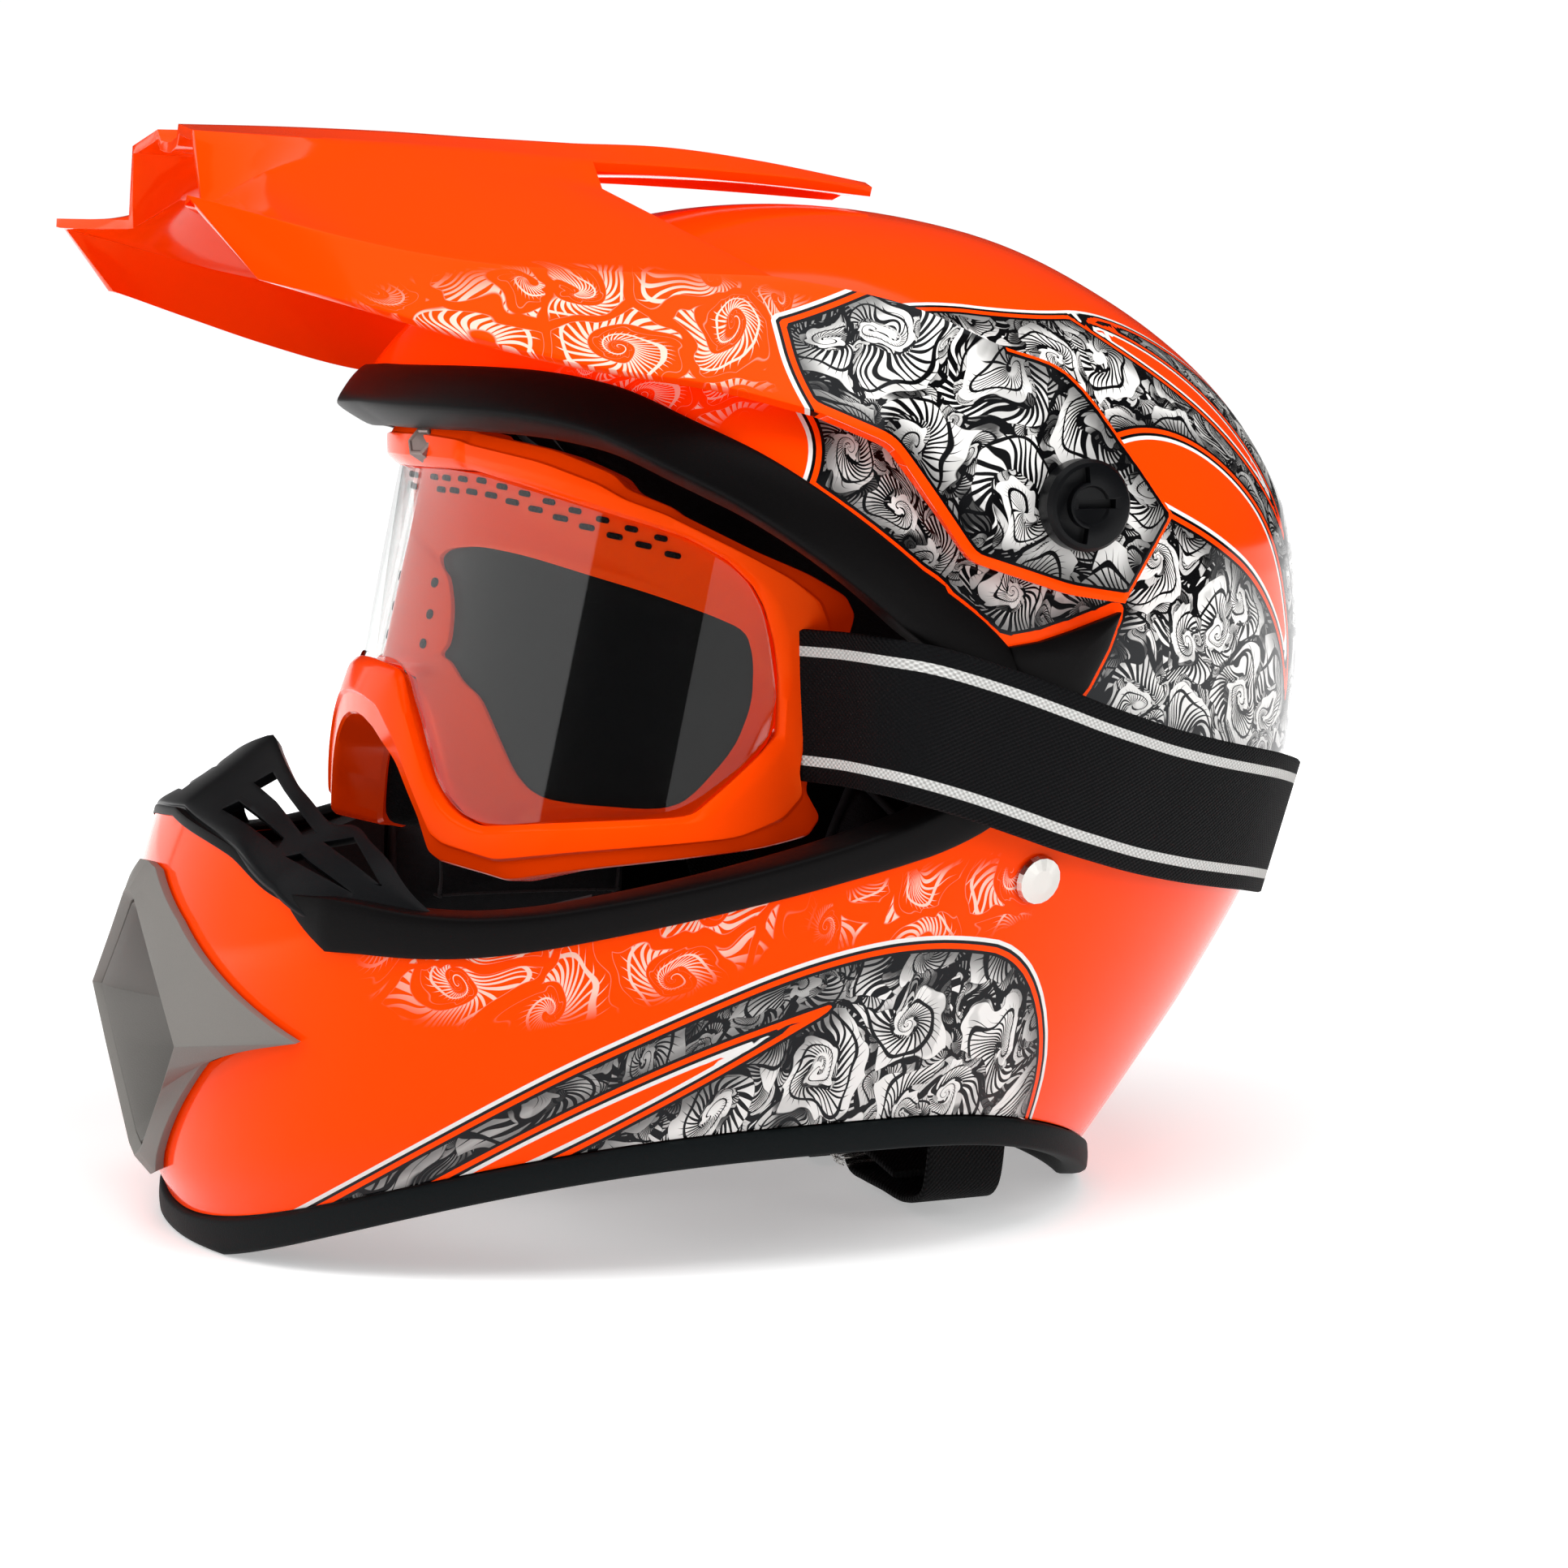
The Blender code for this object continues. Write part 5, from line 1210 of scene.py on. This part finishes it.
facing, along = goggleAxes(holeTurn, holeUp)
scatter("flangeHoles", pill(2.6, 2.6, 0.9), gogglePoint(holeTurn, holeUp, r - 6.2), facing, along,
        looks["foam"], "goggles", "face_foam")
badge = {"turn": 9.0, "up": 22.6, "facing": (0.45, -0.78, 0.44), "radius": 4.3, "off": 3.6}
wide = badge["radius"]
badgeLine = ((0, 2.0), (wide - 1.4, 2.0), (wide - 0.9, 2.3), (wide - 0.3, 2.3), (wide, 1.9), (wide, -5),
             (0, -5))
badgePiece = turned("goggleBadge", badgeLine, gogglePoint(badge["turn"], badge["up"], r + badge["off"]),
                    badge["facing"], 6)
finishPiece(badgePiece, looks["badge"], "goggles", "bright_metal", "goggle_badge", sharp=30)

# Goggle strap: from the frame's left end out over the trim, round the back and home.
strap = {"width": 38.0, "depth": 2.2, "rows": 300,
         "ends": ((91, -13, 141), (98, -10, 141), (110, -7.5, 141.2), (125, -5, 141), (135, 2, 139.5)),
         "facing": ((0.15, -1, 0), (0.15, -1, 0), (0.2, -1, 0), (0.5, -1, 0), (1, -0.4, 0))}
strapFall = ((94, 136), (100, 130), (108, 122.5), (120, 114), (140, 105), (160, 98), (180, 95))
strapLift = ((94, 7.4), (104, 6.8), (110, 5.8), (118, 4.0), (140, 2.8), (180, 2.6))
strapTurn = np.array((95, 101, 105, 110, 116, 124, 132, 140, 150, 160, 170), float)
strapAngle = np.radians(strapTurn)
strapS = level(curve(strapFall, strapTurn), strapAngle)
leftRun = np.concatenate((np.array(strap["ends"]), skin(strapS, strapAngle, curve(strapLift, strapTurn))))
leftOut = np.concatenate((unit(np.array(strap["facing"])), skinNormal(strapS, strapAngle)))
rear = level(95, math.pi)
strapRun = np.concatenate((leftRun, skin(rear, math.pi, 2.4)[None], leftRun[::-1] * (-1, 1, 1)))
strapOut = np.concatenate((leftOut, skinNormal(rear, math.pi)[None], leftOut[::-1] * (-1, 1, 1)))


def ribbonRings(run, out, width, depth):
    # Rounded flat sections along a run, with the distance along and across kept as a mark.
    ahead = unit(np.gradient(run, axis=0))
    sideways = unit(np.cross(ahead, out))
    out = unit(np.cross(sideways, ahead))
    half = width / 2
    # From one edge to the other and back.
    section = [(x, -depth / 2) for x in np.linspace(-half + 0.5, half - 0.5, 9)]
    section += [(half, -depth * 0.2), (half, depth * 0.2)]
    section += [(x, depth / 2) for x in np.linspace(half - 0.5, -half + 0.5, 9)]
    section += [(-half, depth * 0.2), (-half, -depth * 0.2)]
    section = np.array(section)
    rings = run[:, None] + sideways[:, None] * section[None, :, :1] + out[:, None] * section[None, :, 1:]
    length = np.concatenate(((0,), np.cumsum(np.linalg.norm(np.diff(run, axis=0), axis=1))))
    mark = np.zeros(rings.shape)
    mark[..., 0] = length[:, None]
    mark[..., 1] = section[None, :, 0]
    mark[..., 2] = section[None, :, 1]
    return rings, {"cloth": mark.reshape(-1, 3)}, length[-1]


t = np.linspace(0, 1, strap["rows"])
rings, marks, strapLength = ribbonRings(path(strapRun, t), path(strapOut, t), strap["width"], strap["depth"])
strapPiece = tube("goggleStrap", rings, False, marks)
blendPiece(strapPiece, looks["strap"], "strap_webbing", "goggle_strap")
print("stage: goggles and strap", round(strapLength))

# Peak knobs: a crescent and a slot cut in the face.
knob = {"shaft": 3.5, "center": (133.9, 43, 191.5)}
for side, word in sides:
    centre = np.array(knob["center"]) * (side, 1, 1)
    profile = ((0, 6.0), (4.4, 6.0), (4.8, 7.0), (9.0, 7.0), (10.3, 6.5), (11.2, 5.2), (11.2, 0.5), (10.7, 0),
               (knob["shaft"], 0), (knob["shaft"], -8), (0, -8))
    knobPiece = turned(f"peakKnob.{word}", profile, centre, (side, 0, 0), 96)
    bend = np.radians(np.linspace(95, 262, 26))
    crescent = np.concatenate((np.stack((9.4 * np.cos(bend), 9.4 * np.sin(bend)), -1),
                               np.stack((5.6 * np.cos(bend), 5.6 * np.sin(bend)), -1)[::-1]))
    near, far = [centre + [(side * x, y, z) for y, z in crescent] for x in (4.6, 9)]
    cutAway(knobPiece, prism("crescentCutter", near, far))
    cutAway(knobPiece, box("slotCutter", centre + (side * 6.2, 1.6, 0.4), (4, 9.5, 2.2)))
    bevel(knobPiece, 0.3, 2, 38)
    finishPiece(knobPiece, looks["blackPlastic"], f"knob_{word}", "black_plastic", f"peak_screw_{word}",
                sharp=32)
    finishPiece(fromNode(f"peakBoss.{word}", f"peak_boss_{word}", 0.5), looks["blackPlastic"], "helmet",
                "black_plastic", f"peak_boss_{word}")
    finishPiece(fromNode(f"strapRivet.{word}", f"chin_strap_rivet_{word}", 0.35), looks["metal"], "helmet",
                "bright_metal", f"chin_strap_rivet_{word}", sharp=45)
finishPiece(fromNode("ventGrille", "mouth_vent_grille", 0.5), looks["blackPlastic"], "helmet",
            "black_plastic", "mouth_vent_grille")
# A foam filter behind the grille.
grilleLow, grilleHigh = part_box("mouth_vent_grille")
filterSize = (np.array(grilleHigh) - np.array(grilleLow)) * 1000 + (2, 0, 2)
filterMiddle = (np.array(grilleHigh) + np.array(grilleLow)) * 500 - (0, shiftY, 0)
filterMiddle[1] += filterSize[1] / 2 + 1.4
filterSize[1] = 2.2
filterPiece = box("ventFilter", filterMiddle, filterSize)
modify(filterPiece, "BEVEL", width=0.0006, segments=3)
finishPiece(filterPiece, looks["foam"], "helmet", "liner_foam")
for word in ("lower", "upper"):
    ringPiece = fromNode(f"strapRing.{word}", f"d_ring_{word}")
    modify(ringPiece, "SUBSURF", levels=1, render_levels=1)
    finishPiece(ringPiece, looks["metal"], f"ring_{word}", "bright_metal", f"d_ring_{word}", sharp=60)
print("stage: knobs and fittings")

# Chin straps: webbing from the rivets down the inside, the left one looped round the rings.
webbing = {"width": 22.0, "depth": 1.8, "gap": 1.5, "rivet": (40, 98), "rows": 150, "stitched": (26, 39),
           "left": ((94, 66), (84, 42), (79, 26), (74, 10), (62, 5.2), (46, 5.2), (34, 5.2), (26, 5.6),
                    (22.2, 9), (26, 12.4), (34, 13), (46, 11.5), (55, 10.2)),
           "right": ((94, 66), (84, 42), (79, 26), (75, 10), (66, 4.2), (40, 3.6), (20, 3.6), (4, 3.6))}
rivetS, rivetAngle = findSkin(webbing["rivet"][0], webbing["rivet"][1], 1, 1.2, 3.0)
rivetFoot = skin(rivetS, rivetAngle)
rivetAxis = skinNormal(rivetS, rivetAngle)
strapLengths = {}
for side, word in sides:
    mirror = np.array((side, 1, 1))
    axis = rivetAxis * mirror
    flatWay = unit(np.array((0, 1, 0)) - axis * axis[1])
    down = np.cross(axis, flatWay)
    down = down if down[2] < 0 else -down
    start = rivetFoot * mirror - axis * (shell["wall"] + webbing["gap"] + webbing["depth"] / 2)
    head = np.array([start + down * drop for drop in (-10, -5, 0, 6, 12)])
    run = np.concatenate((head, [(side * x, webbing["rivet"][0], z) for x, z in webbing[word]]))
    t = np.linspace(0, 1, webbing["rows"])
    run = path(run, t)
    ease = np.clip((t * 17 - 4) / 3, 0, 1)[:, None]
    acrossWay = unit(flatWay * (1 - ease) + np.array((0, 1, 0)) * ease)
    outward = np.cross(acrossWay, unit(np.gradient(run, axis=0)))
    rings, marks, length = ribbonRings(run, outward, webbing["width"], webbing["depth"])
    strapLengths[word] = length
    strapChin = finishPiece(tube(f"chinStrap.{word}", rings, False, marks), looks["webbing"], "helmet",
                            "strap_webbing", f"chin_strap_{word}", sharp=60)
    # A box of stitches under the rivet.
    ahead = unit(np.gradient(run, axis=0))
    first, last = webbing["stitched"]
    spots = []
    ways = []
    for i in range(first, last + 1, 2):
        for off in (-8, 8):
            spots.append(run[i] + acrossWay[i] * off)
            ways.append(ahead[i])
    for i in (first, last):
        for off in np.linspace(-6, 6, 5):
            spots.append(run[i] + acrossWay[i] * off)
            ways.append(acrossWay[i])
    for face in (1, -1):
        outWay = unit(np.cross(acrossWay[(first + last) // 2], ahead[(first + last) // 2])) * face
        scatter(f"strapStitch.{word}.{'in' if face > 0 else 'out'}", pill(2.6, 0.8, 0.6),
                np.array(spots) + outWay * webbing["depth"] / 2, np.tile(outWay, (len(spots), 1)),
                np.array(ways), looks["thread"], "helmet", "strap_webbing")
print("stage: chin straps", {key: round(value) for key, value in strapLengths.items()})

# Liners: domes under the shell, the inner one quilted.
linerEdge = ((0, 237), (45, 230), (60, 220), (75, 205), (88, 188), (97, 164), (104, 138), (114, 124),
             (130, 92), (150, 68), (180, 62))
liner = {"out": -5.5, "deep": 29.0}
comfort = {"out": -36.0, "deep": 7.0, "panels": 10, "lift": 7.0}


def domePiece(name, edgeTable, out, deep, columns=180, rows=40, quilt=None):
    turn = np.linspace(0, 360, columns, endpoint=False)
    angle = np.radians(turn)
    low = level(curve(edgeTable, np.abs((turn + 180) % 360 - 180)), angle)
    share = np.linspace(0, 1, rows)[:, None]
    s = low + (crown - low) * share
    inner = out - deep * (np.ones(s.shape) if quilt is None else quilt(share, turn))
    points = np.stack((skin(s, angle, np.full(s.shape, out)), skin(s, angle, inner)))
    sheet = grid(rows, columns, False, True)
    rim = np.arange(columns)
    after = (rim + 1) % columns
    faces = np.concatenate((sheet, sheet[:, ::-1] + rows * columns,
                            np.stack((rim, after, after + rows * columns, rim + rows * columns), -1)))
    return solid(name, points, faces, weld=2e-5)


def quilting(share, turn):
    panels = comfort["panels"]
    offMiddle = np.abs((turn / 360 * panels) % 1 - 0.5)
    sideways = (0.5 - offMiddle) * 2 * math.pi * 75 / panels * (1 - share * 0.8)
    upward = np.min([np.abs(share - seam) * 150 for seam in (0.05, 0.36, 0.68)], 0)
    near = np.minimum(sideways, upward)
    return 0.62 + 0.5 * (1 - np.exp(-(near / 6) ** 2)) * np.clip((1.02 - share) * 6, 0, 1)


linerPiece = finishPiece(domePiece("impactLiner", linerEdge, liner["out"], liner["deep"]), looks["liner"],
                         "helmet", "liner_foam", "impact_liner", sharp=50)
comfortEdge = [(turnAt, height + comfort["lift"]) for turnAt, height in linerEdge]
comfortPiece = domePiece("comfortLiner", comfortEdge, comfort["out"], comfort["deep"], 240, 70, quilting)
finishPiece(comfortPiece, looks["fabric"], "helmet", "lining_fabric", "comfort_liner", sharp=70)
chinFoam = finishPiece(fromNode("chinFoam", "chin_foam", 1.2), looks["liner"], "helmet", "liner_foam",
                       "chin_foam")


# Cushions: the node's form swelled by a short cloth run, then piping and stitches.
def plump(obj, pressure=4.0, most=1.5, lastFrame=20):
    modify(obj, "REMESH", mode="VOXEL", voxel_size=0.0045)
    settle(obj)
    before = readPoints(obj.data)
    step = modify(obj, "CLOTH")
    step.settings.use_pressure = True
    step.settings.uniform_pressure_force = pressure
    step.settings.effector_weights.gravity = 0
    step.point_cache.frame_start = 1
    step.point_cache.frame_end = lastFrame
    for number in range(1, lastFrame + 1):
        scene.frame_set(number)
    swelled = obj.evaluated_get(bpy.context.evaluated_depsgraph_get()).data
    move = readPoints(swelled) - before
    obj.modifiers.clear()
    scene.frame_set(1)
    size = np.linalg.norm(move, axis=1, keepdims=True)
    move *= np.minimum(1, most * 0.001 / np.maximum(size, 1e-9))
    obj.data.vertices.foreach_set("co", (before + move).ravel())
    obj.data.update()
    modify(obj, "SUBSURF", levels=1, render_levels=1)
    settle(obj)
    return obj


def pipe(name, points, out, radius):
    ahead = unit(np.roll(points, -1, 0) - np.roll(points, 1, 0))
    sideways = unit(np.cross(ahead, out))
    out = np.cross(sideways, ahead)
    a = np.linspace(0, 2 * np.pi, 10, endpoint=False)[None, :, None]
    return tube(name, points[:, None] + radius * (np.cos(a) * sideways[:, None] + np.sin(a) * out[:, None]))


def cheekPlace(u, v):
    angle = np.radians(67 + 27 * u)
    return level((62 - 6 * u) + ((91 + 7 * u) - (62 - 6 * u)) * v, angle), angle


def neckPlace(u, v):
    turn = 124 + 112 * u
    angle = np.radians(turn)
    high = level(curve(linerEdge, np.abs((turn + 180) % 360 - 180)) - 5, angle)
    return 0.25 + (high - 0.25) * v, angle


cushionOut = -4.8
cushions = (("cheekPad.left", "cheek_pad_left", cheekPlace, 30.0, 1),
            ("cheekPad.right", "cheek_pad_right", cheekPlace, 30.0, -1),
            ("neckRoll", "neck_roll", neckPlace, 22.0, 1))
edgeT = np.linspace(0, 1, 44, endpoint=False)
ones = np.ones(len(edgeT))
borderU = np.concatenate((edgeT, ones, 1 - edgeT, 0 * ones))
borderV = np.concatenate((0 * ones, edgeT, ones, 1 - edgeT))


def inset(acrossShare, upShare):
    # The cushion's border drawn in towards its middle.
    return 0.5 + (borderU - 0.5) * acrossShare, 0.5 + (borderV - 0.5) * upShare


for name, node, place, deep, side in cushions:
    mirror = np.array((side, 1, 1))
    padPiece = finishPiece(plump(fromNode(name, node)), looks["fabric"], "helmet", "lining_fabric", node,
                           sharp=80)
    s, angle = place(*inset(0.99, 0.99))
    loop = skin(s, angle, np.full(s.shape, cushionOut - deep * 0.3)) * mirror
    out = skinNormal(s, angle) * mirror
    finishPiece(pipe(f"{name}.piping", eased(loop), out, 1.3), looks["piping"], "helmet", "lining_fabric",
                sharp=80)
    u, v = inset(0.8, 0.7)
    rise = (1 - np.abs(2 * u - 1) ** 5) * (1 - np.abs(2 * v - 1) ** 4)
    s, angle = place(u, v)
    spots = skin(s, angle, cushionOut - deep * (0.3 + 0.7 * rise ** 0.6) - 0.9) * mirror
    ahead = unit(np.roll(spots, -1, 0) - np.roll(spots, 1, 0))
    scatter(f"{name}.stitches", pill(2.8, 0.8, 0.7), spots[::2], -skinNormal(s, angle)[::2] * mirror,
            ahead[::2], looks["thread"], "helmet", "lining_fabric")
print("stage: liners and cushions")


# Stage: pale floor, soft boxes, white surroundings, and dark and pale walls for the reflections.
def whiteRays(tree):
    # 1 for rays that the camera sees straight on, in a reflection or through the lens.
    rays = tree.nodes.new("ShaderNodeLightPath").outputs
    calc, _, _ = groupTools(tree)
    direct = calc("MAXIMUM", rays["Is Camera Ray"], rays["Is Glossy Ray"])
    return calc("MAXIMUM", direct, rays["Is Transmission Ray"])


def panelObject(name, corners):
    mesh = bpy.data.meshes.new(name)
    mesh.from_pydata(corners, [], [(0, 1, 2, 3)])
    obj = newObject(name, mesh)
    return obj


floorPiece = panelObject("floor", [(-9, -9, 0), (9, -9, 0), (9, 9, 0), (-9, 9, 0)])
floorMaterial, tree, floorShader = newMaterial("floorPale")
setInputs(floorShader, Base_Color=(0.8, 0.8, 0.8, 1), Roughness=0.75, Emission_Color=(1, 1, 1, 1))
floorCalc, floorVec, floorStep = groupTools(tree)
floorPlace = tree.nodes.new("ShaderNodeTexCoord")
far = floorStep(floorVec("LENGTH", floorPlace.outputs["Object"], out="Value"), 0.3, 1.4)
tree.links.new(floorCalc("MULTIPLY", floorCalc("MULTIPLY_ADD", far, 0.75, 0.38), whiteRays(tree)),
               floorShader.inputs["Emission Strength"])
floorPiece.data.materials.append(floorMaterial)

world = bpy.data.worlds.new("studio")
scene.world = world
world.use_nodes = True
tree = world.node_tree
background = tree.nodes["Background"]
background.inputs["Color"].default_value = (1, 1, 1, 1)
worldCalc, _, _ = groupTools(tree)
tree.links.new(worldCalc("MULTIPLY_ADD", whiteRays(tree), 0.7, 0.32), background.inputs["Strength"])


def around(azimuth, elevation, distance):
    a = math.radians(azimuth)
    e = math.radians(elevation)
    return distance * Vector((math.sin(a) * math.cos(e), -math.cos(a) * math.cos(e), math.sin(e)))


def softBox(name, azimuth, elevation, distance, width, height, power):
    light = bpy.data.lights.new(name, "AREA")
    light.shape = "RECTANGLE"
    light.size = width
    light.size_y = height
    light.energy = power
    obj = bpy.data.objects.new(name, light)
    scene.collection.objects.link(obj)
    target = Vector((0, 0, 0.14))
    obj.location = target + around(azimuth, elevation, distance)
    obj.rotation_euler = (target - obj.location).to_track_quat("-Z", "Y").to_euler()
    obj.visible_camera = False
    obj.visible_glossy = False
    obj.visible_transmission = False
    return obj


softBox("boxTop", 75, 64, 1.7, 1.5, 1.0, 24)
softBox("boxFront", -8, 18, 1.7, 0.9, 1.3, 17)
softBox("boxRear", 122, 24, 1.7, 0.7, 1.3, 14)
wall = {"color": (0.02, 0.02, 0.02, 1), "rows": 9, "columns": 25, "middle": Vector((0, 0, 0.1))}


def wallPiece(name, azimuths, elevations, radius, emission=0.0, throughLens=True):
    # A piece of a sphere round the object, seen in reflections only.
    places = [tuple(wall["middle"] + around(azimuth, elevation, radius))
              for elevation in np.linspace(*elevations, wall["rows"])
              for azimuth in np.linspace(*azimuths, wall["columns"])]
    mesh = bpy.data.meshes.new(name)
    mesh.from_pydata(places, [], grid(wall["rows"], wall["columns"]).tolist())
    obj = newObject(name, mesh)
    material, _, shader = newMaterial(name)
    setInputs(shader, Base_Color=wall["color"], Roughness=0.9, Emission_Color=(1, 1, 1, 1),
              Emission_Strength=emission)
    mesh.materials.append(material)
    obj.visible_camera = False
    obj.visible_diffuse = False
    obj.visible_transmission = throughLens
    obj.visible_shadow = False
    return obj


wallPiece("darkSurround", (-66, 172), (-4, 62), 2.4)
wallPiece("darkBehind", (172, 290), (4, 62), 2.4, 0.0, False)
wallPiece("paleFront", (-64, 27), (-3, 40), 2.0, 0.8)
wallPiece("paleSide", (70, 104), (-2, 34), 2.0, 0.45)
wallPiece("paleTop", (-20, 160), (52, 80), 2.1, 1.6)

# Camera.
aim = {"azimuth": 68.0, "elevation": 6.8, "distance": 1.0, "lens": 83.0, "target": (0, 20, 109.6)}
camera = bpy.data.cameras.new("view")
camera.lens = aim["lens"]
camera.sensor_width = 36
camera.clip_start = 0.02
cameraObject = bpy.data.objects.new("view", camera)
scene.collection.objects.link(cameraObject)
target = Vector((aim["target"][0], aim["target"][1] + shiftY, aim["target"][2])) * 0.001
cameraObject.location = target + around(aim["azimuth"], aim["elevation"], aim["distance"])
cameraObject.rotation_euler = (target - cameraObject.location).to_track_quat("-Z", "Y").to_euler()
scene.camera = cameraObject
scene.view_settings.view_transform = "Standard"

print("stage: done")
